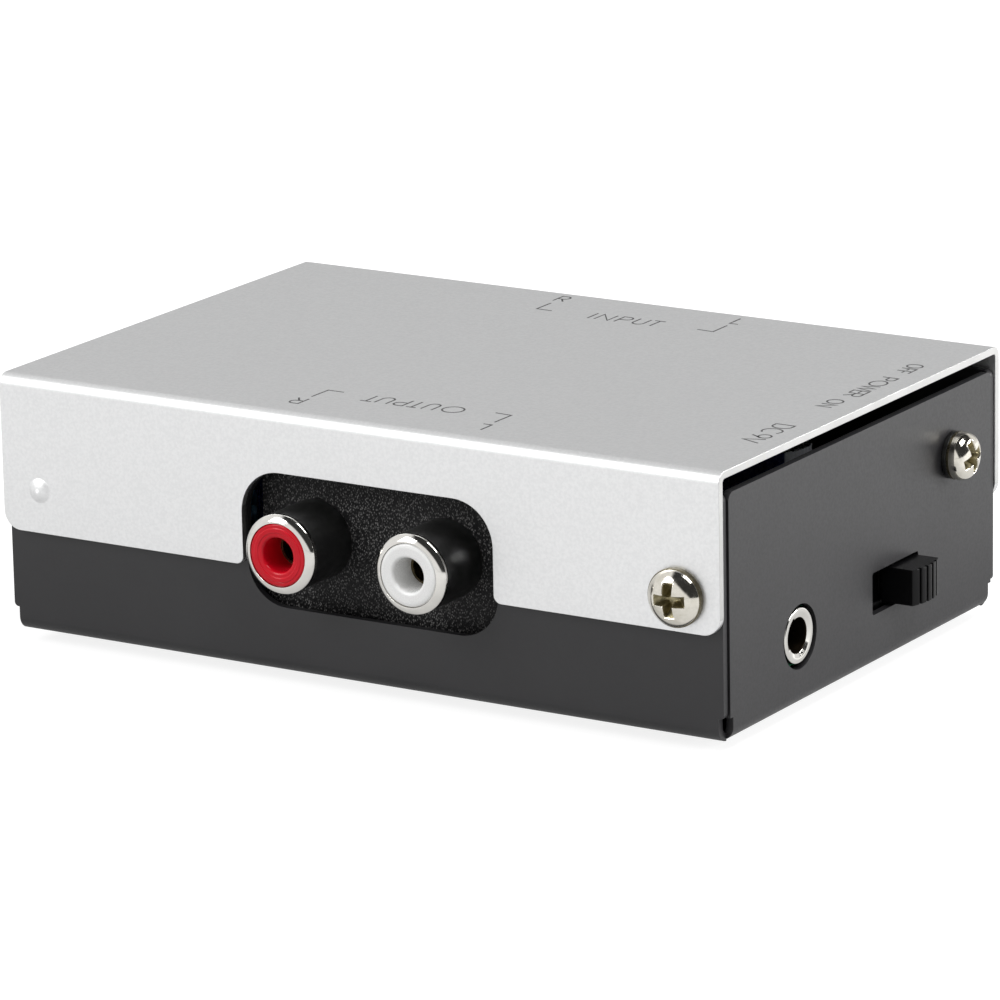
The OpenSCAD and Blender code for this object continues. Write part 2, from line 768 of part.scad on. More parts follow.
module cover_nuts() {
    color([0.7, 0.7, 0.7]) for (end = [front, rear]) {
        on_end(end, screw_x(end), end_wall_y, cover_screw_z) clinch_nut();
    }
}

module rubber_feet() {
    color([0.08, 0.08, 0.08]) for (x = [-1, 1], y = [-1, 1]) {
        translate([x * foot_x, y * foot_y, 0]) cylinder(h = foot_h, r = foot_r);
    }
}

// ---------------------------------------------------------------- ground terminal

module ground_screw() {
    color([0.75, 0.73, 0.68]) translate([ground_head_x, ground_y, ground_z]) facing_right()
        pan_screw(ground_head_r, screw_r, ground_screw_len);
}

module ground_washer() {
    color([0.25, 0.25, 0.25]) translate([washer_x, ground_y, ground_z]) facing_right()
        difference() {
            cylinder(h = washer_t, r = washer_r);
            translate([0, 0, -cut]) cylinder(h = washer_t + 2 * cut, r = screw_r + washer_gap);
        }
}

module ground_nut() {
    color([0.7, 0.7, 0.7]) translate([side_wall_x, ground_y, ground_z]) facing_right() clinch_nut();
}

// ---------------------------------------------------------------- board and its fixings

module at_standoffs(z) {
    for (x = [-1, 1], y = [-1, 1]) translate([x * standoff_x, y * standoff_y, z]) children();
}

module circuit_board() {
    color([0.1, 0.35, 0.2]) difference() {
        translate([0, 0, board_z]) centred_box(2 * board_x, 2 * board_y, board_t);
        at_standoffs(board_z - cut) cylinder(h = board_t + 2 * cut, r = board_screw_r + screw_hole_gap);
    }
}

module board_standoffs() {
    color([0.7, 0.7, 0.7]) at_standoffs(tray_z) difference() {
        union() {
            cylinder(h = tray_t + standoff_h, r = standoff_shank_r);
            translate([0, 0, tray_t]) cylinder(h = standoff_h, r = standoff_r);
        }
        translate([0, 0, -cut])
            cylinder(h = tray_t + standoff_h + 2 * cut, r = board_screw_r + thread_gap);
    }
}

module board_screws() {
    color([0.75, 0.73, 0.68]) at_standoffs(board_top)
        pan_screw(board_head_r, board_screw_r, board_top - tray_z - board_screw_end);
}

// ---------------------------------------------------------------- RCA jacks
// A jack is drawn up along +Z from the face of its block; down is -Y.

module at_jack(end, side) {
    on_end(end, jack_x + side * jack_pitch / 2, block_y, jack_z) children();
}

module jack_block(end) {
    color([0.09, 0.09, 0.09]) difference() {
        at_end(end) translate([jack_x - block_w / 2, -block_y, board_top])
            cube([block_w, block_d, block_h]);
        for (side = [right_channel, left_channel]) at_jack(end, side) {
            translate([0, 0, -shell_in]) cylinder(h = shell_in + cut, r = shell_seat_r + jack_gap);
            translate([0, 0, -block_d - cut]) cylinder(h = block_d + cut, r = tail_r + contact_gap);
            translate([-tab_w / 2 - tab_gap, -jack_axis_h - cut, -shell_in])
                cube([tab_w + 2 * tab_gap, jack_axis_h + cut, tab_t + tab_gap]);
        }
    }
}

module jack_shell(end, side) {
    lip_r = shell_t / 2;
    seat_t = shell_t - shell_step;
    color([0.8, 0.8, 0.78]) at_jack(end, side) {
        rotate_extrude() {
            translate([shell_r - shell_t, -shell_in]) square([seat_t, shell_in + lip_r]);
            translate([shell_r - shell_t, 0]) square([shell_t, shell_out - lip_r]);
            translate([shell_r - lip_r, shell_out - lip_r]) circle(lip_r);
        }
        translate([-tab_w / 2, -jack_axis_h, -shell_in])
            cube([tab_w, jack_axis_h - shell_seat_r + seat_t / 2, tab_t]);
    }
}

module jack_insert(end, side, tint) {
    color(tint) at_jack(end, side) difference() {
        translate([0, 0, -shell_in]) cylinder(h = shell_in + insert_face, r = insert_r);
        translate([0, 0, contact_face]) cylinder(h = pin_hole_len + cut, r = pin_hole_r);
        translate([0, 0, insert_face - mouth_depth]) cylinder(
            h = mouth_depth, r1 = pin_hole_r, r2 = pin_hole_r + mouth_flare
        );
        translate([0, 0, contact_back - contact_gap])
            cylinder(h = contact_len + 2 * contact_gap, r = contact_r + contact_gap);
        translate([0, 0, -shell_in - cut]) cylinder(h = shell_in + cut, r = tail_r + contact_gap);
        translate([0, 0, insert_face - groove_depth]) difference() {
            cylinder(h = groove_depth + cut, r = groove_r + groove_w);
            translate([0, 0, -cut]) cylinder(h = groove_depth + 3 * cut, r = groove_r);
        }
    }
}

module jack_contact(end, side) {
    color([0.8, 0.65, 0.3]) at_jack(end, side) {
        difference() {
            translate([0, 0, contact_back]) cylinder(h = contact_len, r = contact_r);
            translate([0, 0, contact_back + contact_end_t])
                cylinder(h = contact_len, r = contact_bore_r);
        }
        translate([0, 0, strip_z]) cylinder(h = contact_back - strip_z + contact_end_t, r = tail_r);
        translate([-strip_w / 2, -jack_axis_h, strip_z]) cube([strip_w, jack_axis_h + tail_r, tab_t]);
    }
}

module output_jack_block() { jack_block(front); }
module output_shell_right() { jack_shell(front, right_channel); }
module output_shell_left() { jack_shell(front, left_channel); }
module output_insert_right() { jack_insert(front, right_channel, "crimson"); }
module output_insert_left() { jack_insert(front, left_channel, "white"); }
module output_contact_right() { jack_contact(front, right_channel); }
module output_contact_left() { jack_contact(front, left_channel); }
module input_jack_block() { jack_block(rear); }
module input_shell_right() { jack_shell(rear, right_channel); }
module input_shell_left() { jack_shell(rear, left_channel); }
module input_insert_right() { jack_insert(rear, right_channel, "crimson"); }
module input_insert_left() { jack_insert(rear, left_channel, "white"); }
module input_contact_right() { jack_contact(rear, right_channel); }
module input_contact_left() { jack_contact(rear, left_channel); }

// ---------------------------------------------------------------- power inlet

module power_inlet_body() {
    color([0.09, 0.09, 0.09]) difference() {
        translate([inlet_back_x, inlet_y - inlet_body_w / 2, board_top])
            cube([inlet_body_len, inlet_body_w, inlet_body_h]);
        translate([bushing_back_x, inlet_y, inlet_z])
            facing_right() cylinder(h = bushing_neck_len + cut, r = bushing_neck_r + bushing_gap);
        translate([bore_end_x, inlet_y, inlet_z])
            facing_right() cylinder(h = inlet_depth, r = inlet_bore_r);
        translate([inlet_back_x - cut, inlet_y, inlet_z])
            facing_right() cylinder(h = inlet_body_len, r = tip_r + tip_gap);
    }
}

module power_inlet_bushing() {
    head_len = bushing_face_x - inlet_face_x;
    edge_r = bushing_bevel / 2;
    color([0.85, 0.85, 0.82]) translate([inlet_face_x, inlet_y, inlet_z]) facing_right()
        rotate_extrude() difference() {
            union() {
                translate([0, -bushing_neck_len]) square([bushing_neck_r, bushing_neck_len + edge_r]);
                square([bushing_r, head_len - edge_r]);
                square([bushing_r - edge_r, head_len]);
                translate([bushing_r - edge_r, head_len - edge_r]) circle(edge_r);
            }
            translate([0, -bushing_neck_len - cut])
                square([inlet_bore_r, bushing_neck_len + head_len + 2 * cut]);
            polygon([
                [inlet_bore_r, head_len - bushing_bevel],
                [inlet_bore_r + bushing_bevel, head_len],
                [inlet_bore_r, head_len]
            ]);
        }
}

module power_inlet_contacts() {
    color([0.8, 0.8, 0.78]) {
        for (i = [-1:1]) {
            translate([inlet_back_x - leg_t, inlet_y + i * inlet_leg_pitch - leg_w / 2, board_top])
                cube([leg_t, leg_w, inlet_axis_h + leg_w / 2]);
        }
        translate([inlet_back_x - leg_t, inlet_y, inlet_z])
            facing_right() cylinder(h = bore_end_x - inlet_back_x + leg_t - tip_gap, r = tip_r);
    }
}

// ---------------------------------------------------------------- power switch

module switch_frame() {
    opening_len = stem_len + switch_travel + 2 * stem_gap;
    opening_h = stem_h + 2 * stem_gap;
    color([0.75, 0.75, 0.74]) difference() {
        translate([frame_back_x, switch_y - frame_len / 2, switch_z - frame_h / 2])
            cube([frame_depth, frame_len, frame_h]);
        translate([frame_back_x - cut, switch_y - frame_len / 2 + frame_t, switch_z - frame_inner_h / 2])
            cube([frame_depth - frame_t + cut, frame_len - 2 * frame_t, frame_inner_h]);
        translate([frame_face_x - frame_t - cut, switch_y - opening_len / 2, switch_z - opening_h / 2])
            cube([frame_t + 2 * cut, opening_len, opening_h]);
    }
}

module at_rivets(x) {
    for (i = [-1:1]) translate([x, switch_y + i * rivet_pitch, switch_z]) facing_right() children();
}

module switch_wafer() {
    color([0.45, 0.3, 0.15]) difference() {
        translate([frame_back_x, switch_y - frame_len / 2 + frame_t, switch_z - frame_inner_h / 2])
            cube([wafer_t, frame_len - 2 * frame_t, frame_inner_h]);
        at_rivets(frame_back_x - cut) cylinder(h = wafer_t + 2 * cut, r = rivet_r + rivet_gap);
    }
}

module switch_contacts() {
    color([0.8, 0.8, 0.78]) {
        at_rivets(frame_back_x - rivet_out) cylinder(h = rivet_out + wafer_t + rivet_head_t, r = rivet_r);
        at_rivets(wafer_face_x) cylinder(h = rivet_head_t, r = rivet_head_r);
        for (i = [-1:1]) {
            translate([frame_back_x - rivet_out - leg_t, switch_y + i * rivet_pitch - leg_w / 2, board_top])
                cube([leg_t, leg_w, switch_z - board_top + leg_w / 2]);
        }
    }
}

// Outline of the knob from above, with its bulged and grooved face
module knob_2d() {
    rib_pitch = knob_len / rib_count;
    difference() {
        intersection() {
            translate([half_w - knob_in, -knob_len / 2])
                square([knob_in + knob_end_out + knob_bulge, knob_len]);
            translate([knob_tip_x - knob_face_r, 0]) circle(knob_face_r);
        }
        for (i = [1:rib_count - 1]) {
            groove_y = (i - rib_count / 2) * rib_pitch;
            face_x = knob_tip_x - knob_face_r + sqrt(knob_face_r * knob_face_r - groove_y * groove_y);
            translate([face_x - rib_groove_d + rib_groove_w / 2, groove_y]) {
                circle(rib_groove_w / 2);
                translate([0, -rib_groove_w / 2]) square([rib_groove_d + cut, rib_groove_w]);
            }
        }
    }
}

module switch_knob() {
    foot_tall = frame_inner_h - 2 * knob_foot_gap;
    color([0.07, 0.07, 0.07]) translate([0, knob_y, switch_z]) {
        translate([0, 0, -knob_h / 2]) linear_extrude(knob_h) knob_2d();
        translate([stem_root_x, -stem_len / 2, -stem_h / 2])
            cube([half_w - knob_in - stem_root_x + frame_t, stem_len, stem_h]);
        translate([knob_foot_x, -knob_foot_len / 2, -foot_tall / 2])
            cube([knob_foot_t, knob_foot_len, foot_tall]);
    }
}

// Spring clip on the back of the knob's foot: a flat plate with a leg at each
// end and a contact strip across the legs
module switch_clip() {
    color([0.8, 0.6, 0.3]) translate([clip_x, knob_y - clip_len / 2, switch_z - clip_w / 2])
        difference() {
            cube([knob_foot_x - clip_x, clip_len, clip_w]);
            translate([clip_t, clip_t, -cut])
                cube([knob_foot_x - clip_x - 2 * clip_t, clip_len - 2 * clip_t, clip_w + 2 * cut]);
        }
}

// ---------------------------------------------------------------- board parts

module at_chips() {
    for (side = [-1, 1]) translate([chip_x, side * chip_y, board_top]) children();
}

module amplifier_chips() {
    color([0.1, 0.1, 0.1]) at_chips()
        translate([0, 0, chip_lift]) centred_box(chip_len, chip_w, chip_t);
}

// Each lead leaves the chip's side and drops to the board
module chip_leads() {
    lead_z = chip_lift + chip_t / 2;
    color([0.8, 0.8, 0.78]) at_chips() for (side = [0, 1], i = [0:chip_lead_count - 1]) {
        mirror([0, side, 0])
            translate([(i - (chip_lead_count - 1) / 2) * chip_lead_pitch - chip_lead_w / 2, chip_w / 2, 0]) {
                translate([0, 0, lead_z]) cube([chip_lead_w, chip_lead_out, chip_lead_t]);
                translate([0, chip_lead_out - chip_lead_t, 0])
                    cube([chip_lead_w, chip_lead_t, lead_z + chip_lead_t]);
            }
    }
}

module small_capacitors() {
    color([0.12, 0.15, 0.35]) for (i = [0:small_cap_columns - 1], row = [-1, 1]) {
        translate([small_cap_x + i * small_cap_pitch, row * small_cap_y, board_top])
            cylinder(h = small_cap_h, r = small_cap_r);
    }
}

module reservoir_capacitor() {
    color([0.12, 0.15, 0.35]) translate([reservoir_x, reservoir_y, board_top])
        cylinder(h = reservoir_h, r = reservoir_r);
}

module film_capacitors() {
    color([0.75, 0.3, 0.15]) for (i = [0:film_cap_count - 1]) {
        translate([film_cap_x, (i - (film_cap_count - 1) / 2) * film_cap_pitch, board_top])
            centred_box(film_cap_len, film_cap_w, film_cap_h);
    }
}

module at_resistors() {
    for (i = [0:resistor_row_count - 1]) {
        translate([resistor_row_x, (i - (resistor_row_count - 1) / 2) * resistor_row_pitch, board_top])
            children();
    }
    for (side = [-1, 1], i = [0, 1]) {
        translate([resistor_pair_x, side * (resistor_pair_y + i * resistor_pair_pitch), board_top])
            children();
    }
}

// Body of an axial part, lying along X above the board
module axial_body(body_len, r, axis_h) {
    translate([-body_len / 2, 0, axis_h]) facing_right() cylinder(h = body_len, r = r);
}

module resistors() {
    color([0.35, 0.55, 0.7]) at_resistors()
        axial_body(resistor_len, resistor_r, resistor_r + resistor_lift);
}

module resistor_leads() {
    color([0.8, 0.8, 0.78]) at_resistors()
        axial_leads(resistor_len, resistor_lead_pitch, resistor_r + resistor_lift);
}

module protection_diode() {
    color([0.1, 0.1, 0.1]) translate([diode_x, diode_y, board_top])
        axial_body(diode_len, diode_r, diode_r + resistor_lift);
}

module diode_leads() {
    color([0.8, 0.8, 0.78]) translate([diode_x, diode_y, board_top])
        axial_leads(diode_len, diode_lead_pitch, diode_r + resistor_lift);
}

module voltage_regulator() {
    color([0.1, 0.1, 0.1]) translate([regulator_x, regulator_y, board_top + regulator_lift])
        difference() {
            cylinder(h = regulator_h, r = regulator_r);
            translate([regulator_flat, -regulator_r - cut, -cut])
                cube([regulator_r, 2 * (regulator_r + cut), regulator_h + 2 * cut]);
        }
}

module regulator_leads() {
    color([0.8, 0.8, 0.78]) for (i = [-1:1]) {
        translate([regulator_x, regulator_y + i * regulator_lead_pitch, board_top])
            cylinder(h = regulator_lift, r = lead_r);
    }
}

chassis_tray();
top_cover();
cover_screws();
cover_nuts();
ground_screw();
ground_washer();
ground_nut();
rubber_feet();
circuit_board();
board_standoffs();
board_screws();
output_jack_block();
output_shell_right();
output_shell_left();
output_insert_right();
output_insert_left();
output_contact_right();
output_contact_left();
input_jack_block();
input_shell_right();
input_shell_left();
input_insert_right();
input_insert_left();
input_contact_right();
input_contact_left();
power_inlet_body();
power_inlet_bushing();
power_inlet_contacts();
switch_frame();
switch_wafer();
switch_contacts();
switch_knob();
switch_clip();
amplifier_chips();
chip_leads();
small_capacitors();
reservoir_capacitor();
film_capacitors();
resistors();
resistor_leads();
protection_diode();
diode_leads();
voltage_regulator();
regulator_leads();
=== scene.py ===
"""Looks of a small phono preamp: a black tray under a silver cover, with jacks, screws, a switch and legends.

Lengths are written in millimetres and put into the meshes in metres, in the part's own frame:
+X is the switch side, -Y the output side, +Z up, and the origin is the centre of the plane the feet rest on.
"""

import math

import bmesh
import bpy
import numpy as np
from mathutils import Matrix, Vector


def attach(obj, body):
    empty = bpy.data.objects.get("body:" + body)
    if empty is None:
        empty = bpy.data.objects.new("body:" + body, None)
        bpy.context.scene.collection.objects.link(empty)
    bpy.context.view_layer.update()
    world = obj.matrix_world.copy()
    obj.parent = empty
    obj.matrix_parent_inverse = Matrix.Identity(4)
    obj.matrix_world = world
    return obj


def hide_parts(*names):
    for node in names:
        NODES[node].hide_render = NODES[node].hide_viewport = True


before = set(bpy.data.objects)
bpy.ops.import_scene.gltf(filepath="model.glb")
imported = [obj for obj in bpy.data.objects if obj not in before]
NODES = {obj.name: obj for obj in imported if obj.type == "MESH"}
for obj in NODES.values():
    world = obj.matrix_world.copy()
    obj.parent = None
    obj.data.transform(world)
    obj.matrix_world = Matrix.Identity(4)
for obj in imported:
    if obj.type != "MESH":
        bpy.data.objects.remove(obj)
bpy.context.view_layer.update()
MM = 0.001

# The case in millimetres: half its width, about half its depth, its top, and the top of its circuit board
CASE_X, CASE_Y, CASE_TOP = 43.0, 29.0, 29.2
BOARD_TOP = 6.2

# Rows are where a piece's own X, Y and Z go when its Z points that way
FACING = {
    "up": np.array([[1, 0, 0], [0, 1, 0], [0, 0, 1]]),
    "front": np.array([[1, 0, 0], [0, 0, 1], [0, -1, 0]]),
    "rear": np.array([[-1, 0, 0], [0, 0, 1], [0, 1, 0]]),
    "right": np.array([[0, 1, 0], [0, 0, 1], [1, 0, 0]]),
}

# ---------------------------------------------------------------- camera, floor and light


# The camera's place in millimetres, its azimuth, elevation and roll in degrees, and its lens and sensor
CAMERA_PLACE = (336.983, -537.201, 186.478)
CAMERA_TURN = (32.129, 15.213, -1.124)
CAMERA_LENS, CAMERA_SENSOR = 226.31, 36

# How bright matte faces find the sky, and how much darker polished metal finds two parts of it
MATTE_SKY = 0.5
DARK_HALF, GREY_BAND = 0.96, 0.53

# The floor's own grey, its glow for the camera, and its glow in gloss: close, far off, and added on the right
FLOOR_GREY, FLOOR_GLOW = 0.3, 0.85
GLOSS_NEAR, GLOSS_FAR, GLOSS_BEHIND = 0.41, 0.56, 0.4

# Each soft lamp's name, its place and width in metres, and its power in watts
LAMPS = (
    ("key_lamp", (-0.55, -0.7, 0.65), 0.5, 5.9),
    ("top_lamp", (0.35, 0.0, 0.7), 0.4, 4.7),
    ("side_lamp", (0.7, 0.6, 0.3), 0.3, 5.5),
)
CASE_MIDDLE = Vector((0, 0, 0.015))


def aim_camera():
    """A long lens whose back axis is (sin a cos e, -cos a cos e, sin e), turned by a small roll."""
    azimuth, elevation, roll = (math.radians(degrees) for degrees in CAMERA_TURN)
    level_part = math.cos(elevation)
    back = Vector((math.sin(azimuth) * level_part, -math.cos(azimuth) * level_part, math.sin(elevation)))
    level = Vector((math.cos(azimuth), math.sin(azimuth), 0))
    upright = back.cross(level)
    right = level * math.cos(roll) + upright * math.sin(roll)
    up = upright * math.cos(roll) - level * math.sin(roll)
    lens = bpy.data.cameras.new("camera")
    lens.sensor_width = CAMERA_SENSOR
    lens.lens = CAMERA_LENS
    camera = bpy.data.objects.new("camera", lens)
    bpy.context.scene.collection.objects.link(camera)
    place = Matrix((right, up, back)).transposed().to_4x4()
    place.translation = Vector(CAMERA_PLACE) * MM
    camera.matrix_world = place
    bpy.context.scene.camera = camera


def add(tree, kind, inputs=None, **settings):
    """One node; a socket among the inputs is joined, any other value is set."""
    node = tree.nodes.new(kind)
    for name, value in settings.items():
        setattr(node, name, value)
    for name, value in (inputs or {}).items():
        if isinstance(value, bpy.types.NodeSocket):
            tree.links.new(value, node.inputs[name])
        else:
            node.inputs[name].default_value = value
    return node


def maths(tree, operation, first, second=0.0, third=0.0):
    """The result of one Math node, clamped nowhere."""
    node = add(tree, "ShaderNodeMath", operation=operation)
    for socket, value in zip(node.inputs, (first, second, third)):
        if isinstance(value, bpy.types.NodeSocket):
            tree.links.new(value, socket)
        else:
            socket.default_value = value
    return node.outputs[0]


def spread(tree, value, low, high, to_low=0.0, to_high=1.0):
    """Value stretched from low..high to to_low..to_high, smoothly and held at the ends."""
    sockets = {"Value": value, "From Min": low, "From Max": high, "To Min": to_low, "To Max": to_high}
    node = add(tree, "ShaderNodeMapRange", sockets)
    node.interpolation_type = "SMOOTHSTEP"
    return node.outputs[0]


def ray_kinds(tree):
    """The kinds of ray, a mask for those by way of gloss or glass, and one for all that show a background."""
    rays = add(tree, "ShaderNodeLightPath").outputs
    mirrored = maths(tree, "MAXIMUM", rays["Is Glossy Ray"], rays["Is Transmission Ray"])
    return rays, mirrored, maths(tree, "MAXIMUM", rays["Is Camera Ray"], mirrored)


def light_world():
    """White where it is seen and a soft even light on matte faces.

    Polished metal also sees a dark right half of the room and a grey band low at the rear left."""
    world = bpy.data.worlds.new("studio")
    bpy.context.scene.world = world
    world.use_nodes = True
    tree = world.node_tree
    tree.nodes.clear()
    rays, _, seen = ray_kinds(tree)
    way = add(tree, "ShaderNodeSeparateXYZ", {0: add(tree, "ShaderNodeTexCoord").outputs["Generated"]})
    x, y, z = (way.outputs[axis] for axis in "XYZ")
    slope = maths(tree, "MULTIPLY_ADD", x, 0.76, maths(tree, "MULTIPLY_ADD", y, 0.47, z))
    dark = maths(tree, "MULTIPLY", spread(tree, slope, 0.12, 0.3), spread(tree, x, -0.5, -0.3))
    dark = maths(tree, "MULTIPLY", dark, spread(tree, y, 0.7, 0.85, 1.0, 0.0))
    band = maths(tree, "MULTIPLY", spread(tree, z, 0.36, 0.5, 1.0, 0.0), spread(tree, y, 0.0, 0.3))
    band = maths(tree, "MULTIPLY", band, spread(tree, x, -0.1, 0.2, 1.0, 0.0))
    dark, band = maths(tree, "MULTIPLY", dark, DARK_HALF), maths(tree, "MULTIPLY", band, GREY_BAND)
    dim = maths(tree, "MAXIMUM", dark, band)
    shown = maths(tree, "SUBTRACT", 1.0, maths(tree, "MULTIPLY", dim, rays["Is Glossy Ray"]))
    level = maths(tree, "MULTIPLY_ADD", maths(tree, "SUBTRACT", shown, MATTE_SKY), seen, MATTE_SKY)
    sky = add(tree, "ShaderNodeBackground", {"Color": (1, 1, 1, 1), "Strength": level})
    out = add(tree, "ShaderNodeOutputWorld")
    tree.links.new(sky.outputs[0], out.inputs[0])


def lay_floor():
    """A pale floor, matte under the lamps, with a glow of its own for rays that show it, so its shadow stays.

    In gloss the glow is weaker close to the case, a painted shadow in what metal reflects, and stronger
    behind its right side, a painted brightening there."""
    material = bpy.data.materials.new("studio_floor")
    material.use_nodes = True
    tree = material.node_tree
    tree.nodes.clear()
    rays, mirrored, _ = ray_kinds(tree)
    place = add(tree, "ShaderNodeSeparateXYZ", {0: add(tree, "ShaderNodeTexCoord").outputs["Object"]})
    x, y = place.outputs["X"], place.outputs["Y"]
    beside = maths(tree, "SUBTRACT", maths(tree, "ABSOLUTE", x), CASE_X * MM)
    before = maths(tree, "SUBTRACT", maths(tree, "ABSOLUTE", y), CASE_Y * MM)
    away = maths(tree, "MAXIMUM", beside, before)
    # Painted light in gloss: dimmer close to the case as a painted shadow, brighter behind the right side
    behind = maths(tree, "MULTIPLY", spread(tree, x, 0.045, 0.09), spread(tree, y, -0.03, 0.1))
    gloss = spread(tree, away, 0.0, 0.05, GLOSS_NEAR, GLOSS_FAR)
    gloss = maths(tree, "MULTIPLY", maths(tree, "MULTIPLY_ADD", behind, GLOSS_BEHIND, gloss), mirrored)
    glow_level = maths(tree, "MULTIPLY_ADD", rays["Is Camera Ray"], FLOOR_GLOW, gloss)
    matte = add(tree, "ShaderNodeBsdfDiffuse", {"Color": (FLOOR_GREY, FLOOR_GREY, FLOOR_GREY, 1)})
    glow = add(tree, "ShaderNodeEmission", {"Color": (1, 1, 1, 1), "Strength": glow_level})
    both = add(tree, "ShaderNodeAddShader", {0: matte.outputs[0], 1: glow.outputs[0]})
    out = add(tree, "ShaderNodeOutputMaterial")
    tree.links.new(both.outputs[0], out.inputs[0])
    mesh = bpy.data.meshes.new("floor")
    mesh.from_pydata([(-4, -4, 0), (4, -4, 0), (4, 4, 0), (-4, 4, 0)], [], [(0, 1, 2, 3)])
    mesh.materials.append(material)
    floor = bpy.data.objects.new("floor", mesh)
    bpy.context.scene.collection.objects.link(floor)


def hang_lamp(name, place, size, watts):
    """A square soft lamp that looks at the middle of the case."""
    lamp = bpy.data.lights.new(name, "AREA")
    lamp.shape = "SQUARE"
    lamp.size = size
    lamp.energy = watts
    holder = bpy.data.objects.new(name, lamp)
    bpy.context.scene.collection.objects.link(holder)
    holder.location = place
    holder.rotation_euler = (CASE_MIDDLE - Vector(place)).to_track_quat("-Z", "Y").to_euler()


bpy.context.scene.view_settings.view_transform = "Standard"
aim_camera()
light_world()
lay_floor()
for lamp in LAMPS:
    hang_lamp(*lamp)

# ---------------------------------------------------------------- finishes shared by several materials


def new_group(name, inputs, outputs):
    """An empty node group with number inputs and their defaults, and number outputs."""
    group = bpy.data.node_groups.new(name, "ShaderNodeTree")
    for label, value in inputs.items():
        group.interface.new_socket(label, in_out="INPUT", socket_type="NodeSocketFloat").default_value = value
    for label in outputs:
        group.interface.new_socket(label, in_out="OUTPUT", socket_type="NodeSocketFloat")
    return group, add(group, "NodeGroupInput"), add(group, "NodeGroupOutput")


def make_grain():
    """Skin of a sheet or a moulding: fine grain, slow mottle and stray specks, each from 0 to 1.

    Grain size and mottle size are in millimetres."""
    sizes = {"Grain": 0.2, "Mottle": 12.0}
    group, given, out = new_group("surface_grain", sizes, ("Grain", "Mottle", "Specks"))
    place = add(group, "ShaderNodeTexCoord").outputs["Object"]
    fine = maths(group, "DIVIDE", 1000.0, given.outputs["Grain"])
    slow = maths(group, "DIVIDE", 1000.0, given.outputs["Mottle"])
    coarse = maths(group, "MULTIPLY", fine, 0.31)
    noise = "ShaderNodeTexNoise"
    grain = add(group, noise, {"Vector": place, "Scale": fine, "Detail": 3.0, "Roughness": 0.6})
    mottle = add(group, noise, {"Vector": place, "Scale": slow, "Detail": 4.0, "Roughness": 0.55})
    speck = add(group, noise, {"Vector": place, "Scale": coarse, "Detail": 1.0})
    group.links.new(grain.outputs["Fac"], out.inputs["Grain"])
    group.links.new(spread(group, mottle.outputs["Fac"], 0.3, 0.7), out.inputs["Mottle"])
    group.links.new(spread(group, speck.outputs["Fac"], 0.7, 0.78), out.inputs["Specks"])
    return group


def make_leather():
    """Leather grain: drawn-out pebbles that lean over, and a mask of their crowns, each of its own strength.

    Pebble size is in millimetres and the lean in radians."""
    group, given, out = new_group("leather_grain", {"Pebble": 0.3, "Lean": 0.6}, ("Height", "Crowns"))
    place = add(group, "ShaderNodeTexCoord").outputs["Object"]
    lean = add(group, "ShaderNodeCombineXYZ", {"Y": given.outputs["Lean"]})
    leaning = {"Vector": place, "Rotation": lean.outputs[0], "Scale": (1.0, 1.0, 0.6)}
    leaning = add(group, "ShaderNodeMapping", leaning).outputs[0]
    scale = maths(group, "DIVIDE", 1000.0, given.outputs["Pebble"])
    warp = {"Vector": leaning, "Scale": scale, "Detail": 2.0, "Distortion": 0.6}
    warp = add(group, "ShaderNodeTexNoise", warp)
    cells = add(group, "ShaderNodeTexVoronoi", {"Vector": leaning, "Scale": scale, "Randomness": 1.0})
    from_middle = cells.outputs["Distance"]
    height = maths(group, "SUBTRACT", warp.outputs["Fac"], maths(group, "MULTIPLY", from_middle, 0.8))
    chance = add(group, "ShaderNodeSeparateXYZ", {0: cells.outputs["Color"]}).outputs["X"]
    # The middle of each pebble, the mask where a painted highlight goes
    crown_middle = spread(group, from_middle, 0.2, 0.55, 1.0, 0.0)
    crowns = maths(group, "MULTIPLY", crown_middle, spread(group, chance, 0.0, 0.9))
    group.links.new(height, out.inputs["Height"])
    group.links.new(crowns, out.inputs["Crowns"])
    return group


GRAIN = make_grain()
LEATHER = make_leather()


def use_group(tree, group, **values):
    """The group as one node, with its inputs set by name."""
    node = add(tree, "ShaderNodeGroup", node_tree=group)
    for name, value in values.items():
        node.inputs[name.capitalize()].default_value = value
    return node


def blended(tree, factor, first, second):
    """Two colours mixed by a factor."""
    node = add(tree, "ShaderNodeMix", data_type="RGBA", blend_type="MIX")
    for socket, value in ((node.inputs[0], factor), (node.inputs[6], first), (node.inputs[7], second)):
        if isinstance(value, bpy.types.NodeSocket):
            tree.links.new(value, socket)
        else:
            socket.default_value = value if socket.type == "VALUE" else (*value, 1.0)
    return node.outputs[2]


def shine(tree, value, low, high):
    """Roughness between low and high, by a 0 to 1 value."""
    return spread(tree, value, 0.3, 0.7, low, high)


def bumped(tree, height, tall):
    """A normal that follows a 0 to 1 height, tall millimetres high."""
    return add(tree, "ShaderNodeBump", {"Height": height, "Distance": tall * MM, "Strength": 1.0}).outputs[0]


PALE_DUST = (0.6, 0.6, 0.6)


